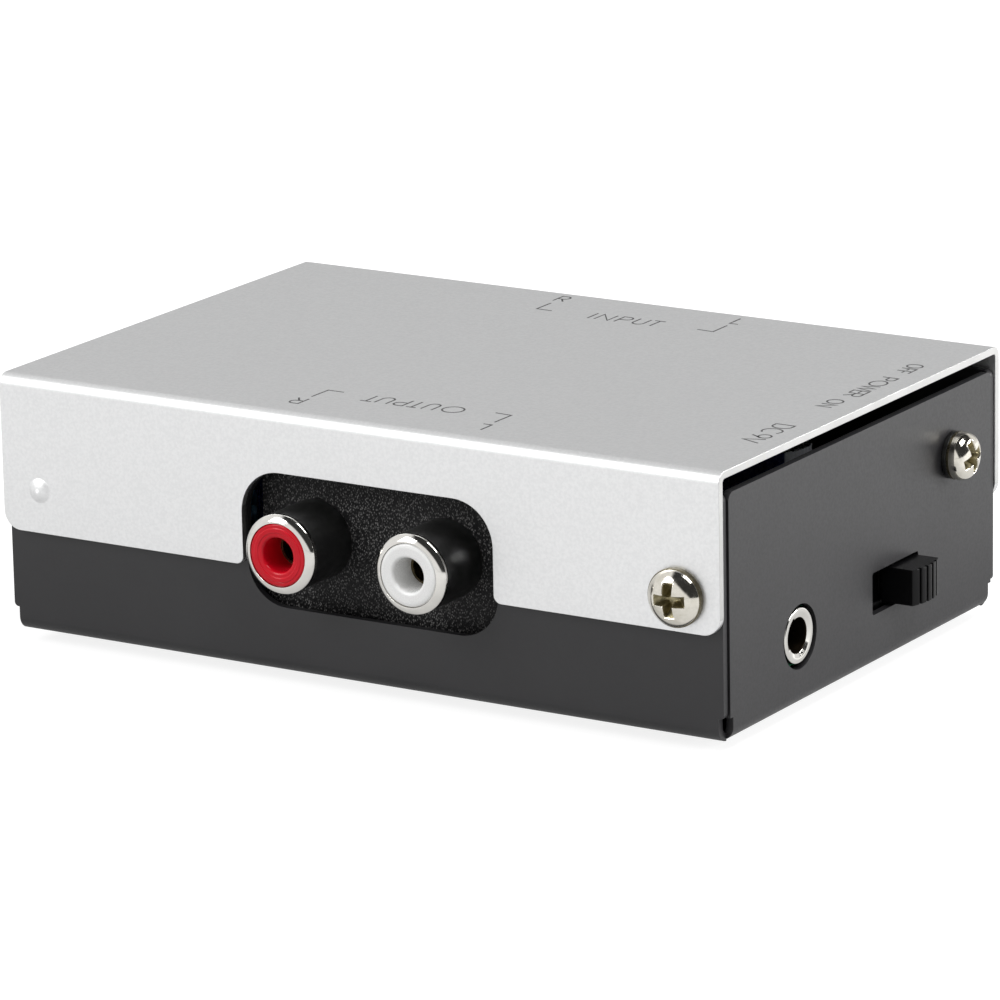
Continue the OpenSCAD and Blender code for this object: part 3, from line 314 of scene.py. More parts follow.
def material(
    name, deep, light, gloss, grain=0.25, mottle=12.0, bump=0.004, specks=0.0, speck_tint=PALE_DUST,
    metallic=0.0, specular=0.5,
):
    """A finish: colour from deep to light by mottle, roughness within gloss by grain, and specks of dust.

    Grain and mottle are sizes in millimetres, and bump is the height of the relief in millimetres."""
    made = bpy.data.materials.new(name)
    made.use_nodes = True
    tree = made.node_tree
    surface = tree.nodes["Principled BSDF"]
    skin = use_group(tree, GRAIN, grain=grain, mottle=mottle)
    colour = blended(tree, skin.outputs["Mottle"], deep, light)
    if specks:
        colour = blended(tree, maths(tree, "MULTIPLY", skin.outputs["Specks"], specks), colour, speck_tint)
    tree.links.new(colour, surface.inputs["Base Color"])
    tree.links.new(shine(tree, skin.outputs["Grain"], *gloss), surface.inputs["Roughness"])
    tree.links.new(bumped(tree, skin.outputs["Grain"], bump), surface.inputs["Normal"])
    surface.inputs["Metallic"].default_value = metallic
    surface.inputs["Specular IOR Level"].default_value = specular
    return made, tree, surface, skin


def relink(tree, value, socket):
    """Feeds a socket from value instead of what fed it."""
    for link in list(socket.links):
        tree.links.remove(link)
    tree.links.new(value, socket)


# ---------------------------------------------------------------- materials

FINISHES = {}


def metal(slot, deep, light, gloss, **more):
    """A plain metal, kept under its slot's name."""
    FINISHES[slot] = material(slot, deep, light, gloss, metallic=1.0, **more)[0]


def plastic(slot, deep, light, gloss, **more):
    """A plain paint, plastic, rubber or ink, kept under its slot's name."""
    FINISHES[slot] = material(slot, deep, light, gloss, **more)[0]


metal(
    "silver_sheet", (0.725, 0.728, 0.731), (0.78, 0.782, 0.784), (0.36, 0.48),
    grain=0.14, mottle=0.35, bump=0.002, specks=0.15, speck_tint=(0.9, 0.9, 0.9),
)
metal(
    "silver_cut_edge", (0.54, 0.54, 0.53), (0.59, 0.59, 0.58), (0.3, 0.42),
    grain=0.12, mottle=3.0, bump=0.004,
)
metal("nickel_screw", (0.60, 0.57, 0.50), (0.74, 0.71, 0.64), (0.06, 0.16), grain=0.5, mottle=1.4, bump=0.002)
metal("plain_steel", (0.50, 0.50, 0.50), (0.66, 0.66, 0.66), (0.22, 0.38), grain=0.3, mottle=2.0, bump=0.004)
# Painted shade: the washer is near black to stand for the shade under the ground screw's head
metal("dark_washer", (0.03, 0.03, 0.03), (0.06, 0.06, 0.056), (0.4, 0.55), grain=0.2, mottle=1.5, bump=0.006)
metal(
    "nickel_plate", (0.66, 0.645, 0.61), (0.73, 0.715, 0.68), (0.05, 0.12),
    grain=0.6, mottle=2.5, bump=0.001,
)
# Painted shade: the brass is darkened to stand for the shade deep in the jack holes; the switch's contacts
# share it
metal("contact_metal", (0.16, 0.13, 0.07), (0.26, 0.21, 0.12), (0.25, 0.4), grain=0.2, mottle=1.5, bump=0.003)
metal("tinned_lead", (0.60, 0.60, 0.59), (0.76, 0.76, 0.75), (0.2, 0.36), grain=0.15, mottle=1.0, bump=0.004)
# Painted shade: the frame seen through the knob's slot is made near black
metal(
    "switch_steel", (0.02, 0.02, 0.02), (0.035, 0.035, 0.034), (0.4, 0.55),
    grain=0.2, mottle=2.0, bump=0.003,
)
# Painted shade: the head's side and its cross recess take darker, browner metals than the head
metal("rim_shade", (0.09, 0.078, 0.05), (0.17, 0.15, 0.10), (0.25, 0.4), grain=0.2, mottle=0.8, bump=0.003)
metal("barrel_side", (0.13, 0.13, 0.13), (0.18, 0.18, 0.18), (0.28, 0.38), grain=0.3, mottle=2.0, bump=0.002)
metal(
    "recess_shade", (0.20, 0.175, 0.10), (0.34, 0.30, 0.19), (0.28, 0.45),
    grain=0.12, mottle=0.5, bump=0.01,
)
# Painted shade: the bushing's bore is a near-black metal
metal(
    "bore_shade", (0.016, 0.012, 0.008), (0.028, 0.02, 0.013), (0.45, 0.6),
    grain=0.15, mottle=1.5, bump=0.004,
)

plastic(
    "black_paint", (0.0135, 0.013, 0.0145), (0.0165, 0.016, 0.0175), (0.36, 0.46),
    grain=0.3, mottle=9.0, bump=0.003,
)
plastic(
    "black_rubber", (0.012, 0.012, 0.012), (0.024, 0.024, 0.023), (0.62, 0.8),
    grain=0.12, mottle=3.0, bump=0.012, specks=0.3, speck_tint=(0.1, 0.1, 0.1),
)
plastic(
    "red_plastic", (0.58, 0.003, 0.014), (0.64, 0.005, 0.019), (0.18, 0.26),
    grain=0.15, mottle=2.5, bump=0.002, specular=0.25,
)
plastic(
    "white_plastic", (0.88, 0.88, 0.87), (0.91, 0.91, 0.9), (0.22, 0.32),
    grain=0.15, mottle=2.5, bump=0.002,
)
plastic(
    "inlet_plastic", (0.012, 0.012, 0.012), (0.024, 0.024, 0.024), (0.5, 0.65),
    grain=0.15, mottle=3.0, bump=0.006,
)
plastic(
    "wafer_board", (0.24, 0.13, 0.05), (0.36, 0.21, 0.09), (0.5, 0.66),
    grain=0.15, mottle=1.2, bump=0.008, specks=0.4, speck_tint=(0.45, 0.3, 0.15),
)
plastic(
    "knob_plastic", (0.0018, 0.0018, 0.0021), (0.0028, 0.0028, 0.0031), (0.3, 0.42),
    grain=0.12, mottle=2.0, bump=0.003, specular=0.13,
)
plastic(
    "chip_epoxy", (0.018, 0.018, 0.019), (0.03, 0.03, 0.031), (0.5, 0.68),
    grain=0.1, mottle=2.0, bump=0.01, specks=0.2, speck_tint=(0.09, 0.09, 0.09),
)
plastic(
    "film_box", (0.36, 0.05, 0.018), (0.46, 0.075, 0.025), (0.28, 0.42),
    grain=0.2, mottle=3.0, bump=0.004,
)
plastic("resistor_lacquer", (0.10, 0.30, 0.45), (0.14, 0.36, 0.52), (0.18, 0.3), grain=0.3, mottle=1.5)
plastic(
    "legend_ink", (0.028, 0.028, 0.03), (0.06, 0.06, 0.06), (0.5, 0.7),
    grain=0.06, mottle=0.5, bump=0.001,
)


BLOCK_BLACK = ((0.004, 0.004, 0.0044), (0.006, 0.006, 0.0064))
# Painted highlight: the pale colour put on the leather's crowns stands for their glints
CROWN_GLINT = (0.20, 0.197, 0.194)
LEATHER_TALL, TRACK_TALL = 0.04, 0.03
MASK_GREEN, TRACK_GREEN = (0.012, 0.09, 0.04), (0.03, 0.20, 0.09)
SLEEVE_BLUE = ((0.010, 0.014, 0.07), (0.018, 0.024, 0.10))
SLEEVE_STRIPE, CAN_TOP = (0.5, 0.52, 0.55), (0.62, 0.62, 0.62)


def leather_block():
    """Jack block: black moulding with a leather grain whose crowns are painted pale, as painted highlights.
    """
    moulding = {"grain": 0.2, "mottle": 4.0, "specular": 0.16}
    made, tree, surface, skin = material("block_plastic", *BLOCK_BLACK, (0.4, 0.5), **moulding)
    leather = use_group(tree, LEATHER, pebble=0.15, lean=0.6)
    colour = blended(tree, skin.outputs["Mottle"], *BLOCK_BLACK)
    relink(tree, blended(tree, leather.outputs["Crowns"], colour, CROWN_GLINT), surface.inputs["Base Color"])
    relink(tree, bumped(tree, leather.outputs["Height"], LEATHER_TALL), surface.inputs["Normal"])
    return made


def solder_mask():
    """Circuit board: green mask over copper tracks, which follow the straight sides of a blocky pattern."""
    made, tree, surface, _ = material("board_green", MASK_GREEN, TRACK_GREEN, (0.25, 0.4), grain=0.3)
    place = add(tree, "ShaderNodeTexCoord").outputs["Object"]
    blocks = {"Vector": place, "Scale": 210.0, "Randomness": 0.9}
    blocks = add(tree, "ShaderNodeTexVoronoi", blocks, distance="CHEBYCHEV", feature="F1")
    line = spread(tree, maths(tree, "PINGPONG", blocks.outputs["Distance"], 0.12), 0.05, 0.075)
    relink(tree, blended(tree, line, MASK_GREEN, TRACK_GREEN), surface.inputs["Base Color"])
    relink(tree, bumped(tree, line, TRACK_TALL), surface.inputs["Normal"])
    return made


def shrink_sleeve():
    """Electrolytic can: dark blue sleeve with a pale stripe down one side and a bare top."""
    made, tree, surface, skin = material("capacitor_sleeve", *SLEEVE_BLUE, (0.2, 0.32), grain=0.4, mottle=3.0)
    facing = add(tree, "ShaderNodeSeparateXYZ", {0: add(tree, "ShaderNodeTexCoord").outputs["Normal"]})
    stripe = spread(tree, facing.outputs["X"], 0.8, 0.84)
    top = spread(tree, facing.outputs["Z"], 0.7, 0.9)
    marked = blended(tree, stripe, blended(tree, skin.outputs["Mottle"], *SLEEVE_BLUE), SLEEVE_STRIPE)
    relink(tree, blended(tree, top, marked, CAN_TOP), surface.inputs["Base Color"])
    relink(tree, top, surface.inputs["Metallic"])
    return made


FINISHES["block_plastic"] = leather_block()
FINISHES["board_green"] = solder_mask()
FINISHES["capacitor_sleeve"] = shrink_sleeve()

# ---------------------------------------------------------------- surfaces on grids


def grid_quads(rows, columns, around=False, along=False):
    """Quads between neighbouring points of a grid, where point (i, j) is number i * columns + j.

    around joins the last column to the first, along the last row to the first."""
    i = np.arange(rows if along else rows - 1)[:, None]
    j = np.arange(columns if around else columns - 1)[None, :]
    below, beside = (i + 1) % rows, (j + 1) % columns
    corners = (i * columns + j, i * columns + beside, below * columns + beside, below * columns + j)
    return np.stack(np.broadcast_arrays(*corners), -1).reshape(-1, 4)


def placed(points, origin, facing):
    """Points drawn about their own origin with Z outwards, turned to face a side, moved and put in metres."""
    return (points.reshape(-1, 3) @ FACING[facing] + np.asarray(origin)) * MM


# The most of a side that a rounded corner may use, and how far on it the straight part is held
ROUND_SHARE, HOLD_SHARE, HOLD_BEYOND = 0.45, 0.49, 1.2


def soften(corners, radii, steps=5):
    """Rounds a profile's corners: each becomes the parabola (1-t)^2 a + 2t(1-t) c + t^2 b.

    Points a and b lie a radius away from the corner c on its two sides, or a share of a short side."""
    corners = np.asarray(corners, float)
    reach = np.broadcast_to(np.asarray(radii, float), len(corners))[:, None]
    back, ahead = np.roll(corners, 1, 0) - corners, np.roll(corners, -1, 0) - corners
    back_len = np.maximum(np.linalg.norm(back, axis=1, keepdims=True), 1e-9)
    ahead_len = np.maximum(np.linalg.norm(ahead, axis=1, keepdims=True), 1e-9)
    near_back = np.minimum(reach, ROUND_SHARE * back_len)
    near_ahead = np.minimum(reach, ROUND_SHARE * ahead_len)
    a = corners + back / back_len * near_back
    b = corners + ahead / ahead_len * near_ahead
    hold_a = corners + back / back_len * np.minimum(near_back * HOLD_BEYOND, HOLD_SHARE * back_len)
    hold_b = corners + ahead / ahead_len * np.minimum(near_ahead * HOLD_BEYOND, HOLD_SHARE * ahead_len)
    t = np.linspace(0, 1, steps)[None, :, None]
    curve = (1 - t) ** 2 * a[:, None] + 2 * t * (1 - t) * corners[:, None] + t**2 * b[:, None]
    return np.concatenate([hold_a[:, None], curve, hold_b[:, None]], 1).reshape(-1, 2)


def turned(profile, origin, facing, steps=128, ring=True):
    """A surface of revolution: profile point (s, r) goes round the axis at height s and radius r.

    With ring, the last profile point joins the first."""
    angle = 2 * np.pi * np.arange(steps)[None, :] / steps
    height, radius = np.asarray(profile, float).T[:, :, None]
    points = np.stack(np.broadcast_arrays(radius * np.cos(angle), radius * np.sin(angle), height), -1)
    return placed(points, origin, facing), grid_quads(len(height), steps, around=True, along=ring)


def bar(low, high):
    """A plain bar between two corners, to be joined to a turned piece and rounded with it."""
    low, high = np.asarray(low, float), np.asarray(high, float)
    pick = np.array([[0, 0, 0], [1, 0, 0], [1, 1, 0], [0, 1, 0], [0, 0, 1], [1, 0, 1], [1, 1, 1], [0, 1, 1]])
    faces = np.array([[0, 3, 2, 1], [4, 5, 6, 7], [0, 1, 5, 4], [1, 2, 6, 5], [2, 3, 7, 6], [3, 0, 4, 7]])
    return (low + pick * (high - low)) * MM, faces


def mesh_of(name, shapes):
    """One mesh from several shapes, with coincident points merged, holes at poles closed and faces outwards.

    A shape is its points and its quads, and may add the number of each quad's finish."""
    starts = np.cumsum([0] + [len(shape[0]) for shape in shapes])
    points = np.concatenate([shape[0] for shape in shapes])
    quads = np.concatenate([shape[1] + start for shape, start in zip(shapes, starts)])
    finish = [shape[2] if len(shape) > 2 else np.zeros(len(shape[1]), np.int32) for shape in shapes]
    mesh = bpy.data.meshes.new(name)
    mesh.from_pydata(points.tolist(), [], quads.tolist())
    mesh.polygons.foreach_set("material_index", np.concatenate(finish))
    work = bmesh.new()
    work.from_mesh(mesh)
    bmesh.ops.remove_doubles(work, verts=work.verts, dist=1e-6)
    bmesh.ops.recalc_face_normals(work, faces=work.faces)
    work.to_mesh(mesh)
    work.free()
    return mesh


def show(name, mesh, body, slot, nodes, crease=35, finishes=None):
    """Puts a mesh in the scene as one piece that rides on a body and stands for nodes.

    It takes its slot's finish, or the finishes given; edges sharper than crease degrees stay sharp."""
    mesh.polygons.foreach_set("use_smooth", np.ones(len(mesh.polygons), bool))
    if crease:
        mesh.set_sharp_from_angle(angle=math.radians(crease))
    numbers = np.zeros(len(mesh.polygons), np.int32)
    mesh.polygons.foreach_get("material_index", numbers)
    mesh.materials.clear()
    for finish in finishes or [slot]:
        mesh.materials.append(FINISHES[finish])
    mesh.polygons.foreach_set("material_index", numbers)
    piece = bpy.data.objects.new(name, mesh)
    bpy.context.scene.collection.objects.link(piece)
    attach(piece, body)
    if nodes:
        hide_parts(*nodes)
    return piece


def eased(node, name, body, slot, width, crease=30):
    """The node's own solid with its flats made whole and its sharp edges rounded by width, in millimetres."""
    mesh = NODES[node].data.copy()
    mesh.name = name
    work = bmesh.new()
    work.from_mesh(mesh)
    bmesh.ops.remove_doubles(work, verts=work.verts, dist=2e-6)
    bmesh.ops.dissolve_limit(work, angle_limit=math.radians(0.6), verts=work.verts, edges=work.edges)
    work.to_mesh(mesh)
    work.free()
    piece = show(name, mesh, body, slot, [node], crease=0)
    rounding = piece.modifiers.new("edges", "BEVEL")
    rounding.width = width * MM
    rounding.segments = 2
    rounding.limit_method = "ANGLE"
    rounding.angle_limit = math.radians(crease)
    flats = piece.modifiers.new("flats", "WEIGHTED_NORMAL")
    flats.mode = "FACE_AREA"
    flats.weight = 100
    flats.keep_sharp = True
    return piece


# ---------------------------------------------------------------- case


def cover():
    """The U-shaped cover; its end edges at +X and -X show the bare cut metal."""
    piece = eased("top_cover", "cover", "case", "silver_sheet", 0.07)
    piece.data.materials.append(FINISHES["silver_cut_edge"])
    faces = piece.data.polygons
    normals = np.empty(len(faces) * 3)
    faces.foreach_get("normal", normals)
    at_ends = np.abs(normals.reshape(-1, 3)[:, 0]) > 0.99
    faces.foreach_set("material_index", at_ends.astype(np.int32))


cover()
eased("chassis_tray", "tray", "case", "black_paint", 0.12)
eased("output_jack_block", "output_block", "case", "block_plastic", 0.15)
eased("input_jack_block", "input_block", "case", "block_plastic", 0.15)

# ---------------------------------------------------------------- screws


# A cross recess: half a wing's width, its reach, depth and slopes, then the reach and slope of the middle
WING_HALF, WING_REACH, RECESS_DEPTH, FLANK_SLOPE, END_SLOPE = 0.56, 1.82, 1.3, 3.0, 1.3
MIDDLE_REACH, MIDDLE_SLOPE = 1.12, 2.2
HEAD_TALL, THREAD_PITCH, THREAD_DEPTH = 2.1, 0.5, 0.18

# A screw's face is in the recess where it is cut deeper than this, and a rim's face has a mark past any depth
RECESS_SHOWS, RIM_SHOWS, RIM_MARK = 0.12, 2.0, 9.0
# The second and third finishes paint shade into the recess and onto the head's side
SCREW_LOOKS = ["nickel_screw", "recess_shade", "rim_shade"]


def cross_recess(x, y):
    """Depth of a cross recess: the largest of two wings and a middle.

    A wing's depth is the least of its bottom, its two flanks and its two ends."""
    wings = []
    for along, across in ((x, y), (y, x)):
        flank = (WING_HALF - np.abs(across)) * FLANK_SLOPE
        end = (WING_REACH - np.abs(along)) * END_SLOPE
        wings.append(np.minimum(np.minimum(flank, end), RECESS_DEPTH))
    middle = np.minimum((MIDDLE_REACH - np.abs(x) - np.abs(y)) * MIDDLE_SLOPE, RECESS_DEPTH)
    return np.clip(np.maximum(np.maximum(wings[0], wings[1]), middle), 0, None)


def spun(profile, angle):
    """Rows of points of a profile (s, r) at each angle."""
    height, radius = np.asarray(profile, float).T[:, :, None]
    return np.stack(np.broadcast_arrays(radius * np.cos(angle), radius * np.sin(angle), height), -1)


def pan_screw(origin, facing, head_r, thread_r, length, turn=0.0, round_off=1.0, steps=192):
    """A pan head screw drawn round in one sheet: cap, rim, underside, thread and tip.

    The cap's height is rim + dome * cos(p)^k at radius R sin(p)^k, where k is round_off. Where k is 1, 0.6 of
    that height is a ball's. The thread's radius falls by its depth times a triangle wave of
    s / pitch - angle / 2 pi. The recess takes the second finish and the rim the third, darker metals that
    paint shade there."""
    angle = 2 * np.pi * np.arange(steps)[None, :] / steps
    full = round_off == 1.0
    rim_h = 0.58 if full else 0.3
    dome_r, dome_h = head_r - (0.1 if full else 0.01), HEAD_TALL - rim_h
    p = (np.linspace(0, 1, 90) ** (0.85 / round_off) * np.pi / 2)[:, None]
    cap_r = dome_r * np.sin(p) ** round_off
    cap_z = rim_h + dome_h * np.cos(p) ** round_off
    if full:
        ball = (dome_r**2 + dome_h**2) / (2 * dome_h)
        cap_z = 0.6 * (HEAD_TALL - ball + np.sqrt(ball**2 - cap_r**2)) + 0.4 * cap_z
    depth = cross_recess(cap_r * np.cos(angle - turn), cap_r * np.sin(angle - turn))
    cap = np.stack(np.broadcast_arrays(cap_r * np.cos(angle), cap_r * np.sin(angle), cap_z - depth), -1)
    edge = [(rim_h, dome_r), (rim_h - 0.02, head_r), (0.0, head_r), (0.0, thread_r + 0.02)]
    edge = soften(edge, [0.02, 0.05, 0.05, 0.01])
    s = np.linspace(-0.05, -length + 0.3, int(length / THREAD_PITCH * 10))[:, None]
    wave = np.abs(((s / THREAD_PITCH - angle / (2 * np.pi)) % 1.0) * 2 - 1)
    fade = np.clip(np.minimum((-s - 0.05) / 0.4, (s + length) / 0.4), 0, 1)
    thread = thread_r - THREAD_DEPTH * wave * fade
    thread = np.stack(np.broadcast_arrays(thread * np.cos(angle), thread * np.sin(angle), s), -1)
    tip = np.array([(-length, thread_r - 0.35), (-length, 0.0)])
    points = np.concatenate([cap, spun(edge, angle), thread, spun(tip, angle)])
    quads = grid_quads(len(points), steps, around=True)
    cut = np.zeros(points.shape[:2])
    cut[: len(depth)] = depth
    cut[len(depth) : len(depth) + len(edge)] = RIM_MARK
    cut = cut.ravel()[quads].mean(1)
    return placed(points, origin, facing), quads, (cut > RECESS_SHOWS).astype(np.int32) + (cut > RIM_SHOWS)


def show_screws(name, screws, body, node):
    """One piece from several screws, with the three finishes of a screw."""
    show(name, mesh_of(name, screws), body, "nickel_screw", [node], crease=48, finishes=SCREW_LOOKS)


# Places in millimetres: a cover screw's, a board screw's, and the ground screw's axis
COVER_SCREW_X, COVER_SCREW_Y, COVER_SCREW_Z = 38.15, 29.3, 16.15
BOARD_SCREW_X, BOARD_SCREW_Y = 26, 21.5
GROUND_Y, GROUND_Z = 18.8, 19.85


def cover_screws():
    """The two screws of the cover's flaps, on opposite corners and turned as they were left."""
    x, y, z = COVER_SCREW_X, COVER_SCREW_Y, COVER_SCREW_Z
    front = pan_screw((x, -y, z), "front", 3.0, 1.45, 5.0, turn=math.radians(2))
    rear = pan_screw((-x, y, z), "rear", 3.0, 1.45, 5.0, turn=math.radians(24))
    show_screws("case_screws", [front, rear], "case", "cover_screws")


def board_screws():
    """The four screws that hold the board on its standoffs."""
    sides = (-1, 1)
    spots = [(i * BOARD_SCREW_X, j * BOARD_SCREW_Y, BOARD_TOP) for i in sides for j in sides]
    screws = [pan_screw(spot, "up", 2.5, 1.2, 3.8, turn=0.5 * n, steps=96) for n, spot in enumerate(spots)]
    show_screws("pcb_screws", screws, "case", "board_screws")


def ground_terminal():
    """The screw, and its clamp washer with a raised, slightly dished rim."""
    head = (43.6, GROUND_Y, GROUND_Z)
    screw = pan_screw(head, "right", 2.55, 1.45, 6.0, turn=math.radians(20), round_off=0.7)
    show_screws("earth_screw", [screw], "screw", "ground_screw")
    ring = soften([(0.0, 1.6), (0.0, 2.5), (0.5, 2.5), (0.5, 2.2), (0.42, 2.0), (0.42, 1.6)], 0.08)
    washer = turned(ring, (43.05, GROUND_Y, GROUND_Z), "right")
    show("earth_washer", mesh_of("earth_washer", [washer]), "clamp", "dark_washer", ["ground_washer"])


cover_screws()
board_screws()
ground_terminal()

# ---------------------------------------------------------------- jacks

# Each end's jacks, the side they face, where their block's face lies along Y and which way it looks
FRONT, REAR = ("output", "front", -26.3, -1), ("input", "rear", 26.3, 1)
RED_X, WHITE_X, JACK_Z = -5.8, 9.8, 15.6
INNER_END = 8.0
ROUND_STEPS = 160


def jack_shell(side, facing, y, sign, x, channel):
    """Plated barrel: a tube whose lip rolls over, narrower where it sits in the block, and its ground tab.

    The lip is a bulging cone: height 6.8 + 0.6 cos(t)^1.5, radius 3.36 + 0.79 sin(t)^1.5."""
    t = np.radians(np.linspace(0, 90, 24))
    lip = np.stack([6.8 + 0.6 * np.abs(np.cos(t)) ** 1.5, 3.36 + 0.79 * np.sin(t) ** 1.5], -1)
    inside = np.array([(-7.9, 3.3), (7.3, 3.3), (7.36, 3.31), (7.39, 3.33)])
    side_wall = [(6.4, 4.15), (0.0, 4.15), (0.0, 3.96), (-0.05, 3.95), (-7.9, 3.95)]
    outside = np.array([*side_wall, (-INNER_END, 3.9), (-INNER_END, 3.35)])
    profile = np.concatenate([inside, lip, outside])
    points, quads = turned(profile, (x, y, JACK_Z), facing, steps=ROUND_STEPS)
    rows = np.arange(len(quads)) // ROUND_STEPS
    tube = (points, quads, (rows == len(inside) + len(lip)).astype(np.int32))
    inner_y = y - sign * INNER_END
    low_y, high_y = sorted((inner_y, inner_y + sign * 0.5))
    tab = bar((x - 1.0, low_y, BOARD_TOP), (x + 1.0, high_y, 11.9))
    node = f"{side}_shell_{channel}"
    looks = ["nickel_plate", "barrel_side"]
    mesh = mesh_of(node, [tube, tab])
    show(node.replace("shell", "barrel"), mesh, "case", looks[0], [node], finishes=looks)


def jack_insert(side, facing, y, x, channel, slot):
    """Moulded insert: a flat face, with shallow rings on the red one, and a round-edged hole for the pin."""
    face = 7.45
    step = 0.07 if channel == "right" else 0.0
    corners = [
        (-INNER_END, 1.1), (-INNER_END, 3.27), (face - 0.2, 3.27), (face - 0.06, 3.14), (face - step, 2.86),
        (face, 2.78), (face, 2.4), (face - step, 2.32), (face - step, 2.0), (face - step - 0.18, 1.79),
        (face - 1.0, 1.75), (face - 3.4, 1.75), (face - 3.4, 2.25), (-4.0, 2.25), (-4.0, 1.1),
    ]
    radii = [0.1, 0.1, 0.05, 0.08, 0.03, 0.03, 0.03, 0.03, 0.16, 0.2, 0.1, 0.05, 0.05, 0.05, 0.05]
    shape = turned(soften(corners, radii), (x, y, JACK_Z), facing, steps=ROUND_STEPS)
    node = f"{side}_insert_{channel}"
    show(node.replace("insert", "core"), mesh_of(node, [shape]), "case", slot, [node])


for side, facing, face_y, sign in (FRONT, REAR):
    for jack_x, channel, slot in ((RED_X, "right", "red_plastic"), (WHITE_X, "left", "white_plastic")):
        jack_shell(side, facing, face_y, sign, jack_x, channel)
        jack_insert(side, facing, face_y, jack_x, channel, slot)

# ---------------------------------------------------------------- power inlet and switch


def inlet_bushing():
    """Bright bushing: a head with a round edge and a bevelled mouth, on a plain neck, its bore dull and
    painted near black as shade.
    """
    head = [(0.0, 2.85), (-1.9, 2.85), (-1.9, 2.3)]
    neck = [(-4.9, 2.3), (-4.9, 1.8)]
    mouth = [(-0.22, 1.8), (-0.03, 2.3), (0.0, 2.45)]
    profile = soften(head + neck + mouth, [0.14, 0.05, 0.02, 0.1, 0.1, 0.08, 0.05, 0.03])
    points, quads = turned(profile, (43.1, -13.8, 8.85), "right", steps=ROUND_STEPS)
    in_bore = (profile[:, 1] < 1.85) & (profile[:, 0] < -0.2)
    ring = (points, quads, np.repeat(in_bore.astype(np.int32), ROUND_STEPS))
    looks = ["nickel_plate", "bore_shade"]
    mesh = mesh_of("inlet_ring", [ring])
    show("inlet_ring", mesh, "case", looks[0], ["power_inlet_bushing"], finishes=looks)


inlet_bushing()

# ---------------------------------------------------------------- feet


def foot(x, y):
    """Rubber foot: a low puck with a round lower edge and a shallow dish underneath."""
    corners = [(1.4, 0.0), (1.4, 4.0), (0.0, 4.0), (0.0, 2.6), (0.18, 2.0), (0.18, 0.0)]
    profile = soften(corners, [0, 0.1, 0.45, 0.2, 0.3, 0])
    return turned(profile, (x, y, 0), "up", steps=96)


pucks = [foot(x, y) for x in (-33, 33) for y in (-18.4, 18.4)]
show("feet", mesh_of("feet", pucks), "case", "black_rubber", ["rubber_feet"])

# ---------------------------------------------------------------- legends


def arc(cx, cy, rx, ry, start, stop, count=15):
    """Points of an ellipse's arc between two angles in degrees."""
    t = np.radians(np.linspace(start, stop, count))
    return np.stack([cx + rx * np.cos(t), cy + ry * np.sin(t)], -1).tolist()


def letter(sign, w):
    """Strokes of a thin capital or numeral of width w and height 1, as lists of points."""
    r = 0.27
    bowl = [(0, 1), (w - r, 1), *arc(w - r, 1 - r, r, r, 90, -90), (0, 1 - 2 * r)]
    return {
        "I": [[(0, 0), (0, 1)]],
        "N": [[(0, 0), (0, 1), (w, 0), (w, 1)]],
        "P": [[(0, 0), *bowl]],
        "R": [[(0, 0), *bowl], [(w * 0.45, 1 - 2 * r), (w, 0)]],
        "U": [[(0, 1), *arc(w / 2, w / 2, w / 2, w / 2, 180, 360), (w, 1)]],
        "T": [[(0, 1), (w, 1)], [(w / 2, 1), (w / 2, 0)]],
        "O": [arc(w / 2, 0.5, w / 2, 0.5, 90, 450, 33)],
        "L": [[(0, 1), (0, 0), (w, 0)]],
        "F": [[(w, 1), (0, 1), (0, 0)], [(0, 0.52), (w * 0.85, 0.52)]],
        "E": [[(w, 1), (0, 1), (0, 0), (w, 0)], [(0, 0.52), (w * 0.9, 0.52)]],
        "W": [[(0, 1), (w * 0.27, 0), (w * 0.5, 0.95), (w * 0.73, 0), (w, 1)]],
        "D": [[(0, 0), (0, 1), (w * 0.45, 1), *arc(w * 0.45, 0.5, w * 0.55, 0.5, 90, -90), (0, 0)]],
        "C": [arc(w / 2, 0.5, w / 2, 0.5, 48, 312, 25)],
        "9": [arc(w / 2, 0.68, w / 2, 0.32, 0, 360, 25), [(w * 0.98, 0.6), (w * 0.42, 0)]],
        "V": [[(0, 1), (w / 2, 0), (w, 1)]],
    }[sign]


def ribbon(path, width, low, high):
    """An ink stroke: a path moved to both sides along its mitred normals, a flat bar between two heights."""
    path = np.asarray(path, float)
    path = path[np.append(True, np.linalg.norm(np.diff(path, axis=0), axis=1) > 1e-6)]
    step = np.diff(path, axis=0)
    step /= np.linalg.norm(step, axis=1, keepdims=True)
    before, after = np.vstack([step[:1], step]), np.vstack([step, step[-1:]])
    mean = before + after
    mean /= np.maximum(np.linalg.norm(mean, axis=1, keepdims=True), 1e-9)
    across = np.stack([-mean[:, 1], mean[:, 0]], -1)
    reach = width / 2 / np.clip((mean * after).sum(1, keepdims=True), 0.45, None)
    left, right = path + across * reach, path - across * reach
    edges = ((left, low), (left, high), (right, high), (right, low))
    points = np.stack([np.column_stack([edge, np.full(len(path), z)]) for edge, z in edges], 1)
    ends = np.array([[0, 1, 2, 3], [3, 2, 1, 0]]) + np.array([[0], [4 * (len(path) - 1)]])
    return points.reshape(-1, 3) * MM, np.vstack([grid_quads(len(path), 4, around=True), ends])


def word(baseline, tall, reading, *signs):
    """Strokes of a row of letters, each given by its sign, its start along the reading and its width."""
    along = np.array({"+x": (1, 0), "-x": (-1, 0), "-y": (0, -1)}[reading], float)
    up = np.array([-along[1], along[0]])
    strokes = []
    for sign, start, width in (entry.split() for entry in signs):
        for stroke in letter(sign, float(width) / tall):
            points = np.asarray(stroke) * tall
            strokes.append((float(start) + points[:, :1]) * along + (baseline + points[:, 1:]) * up)
    return strokes


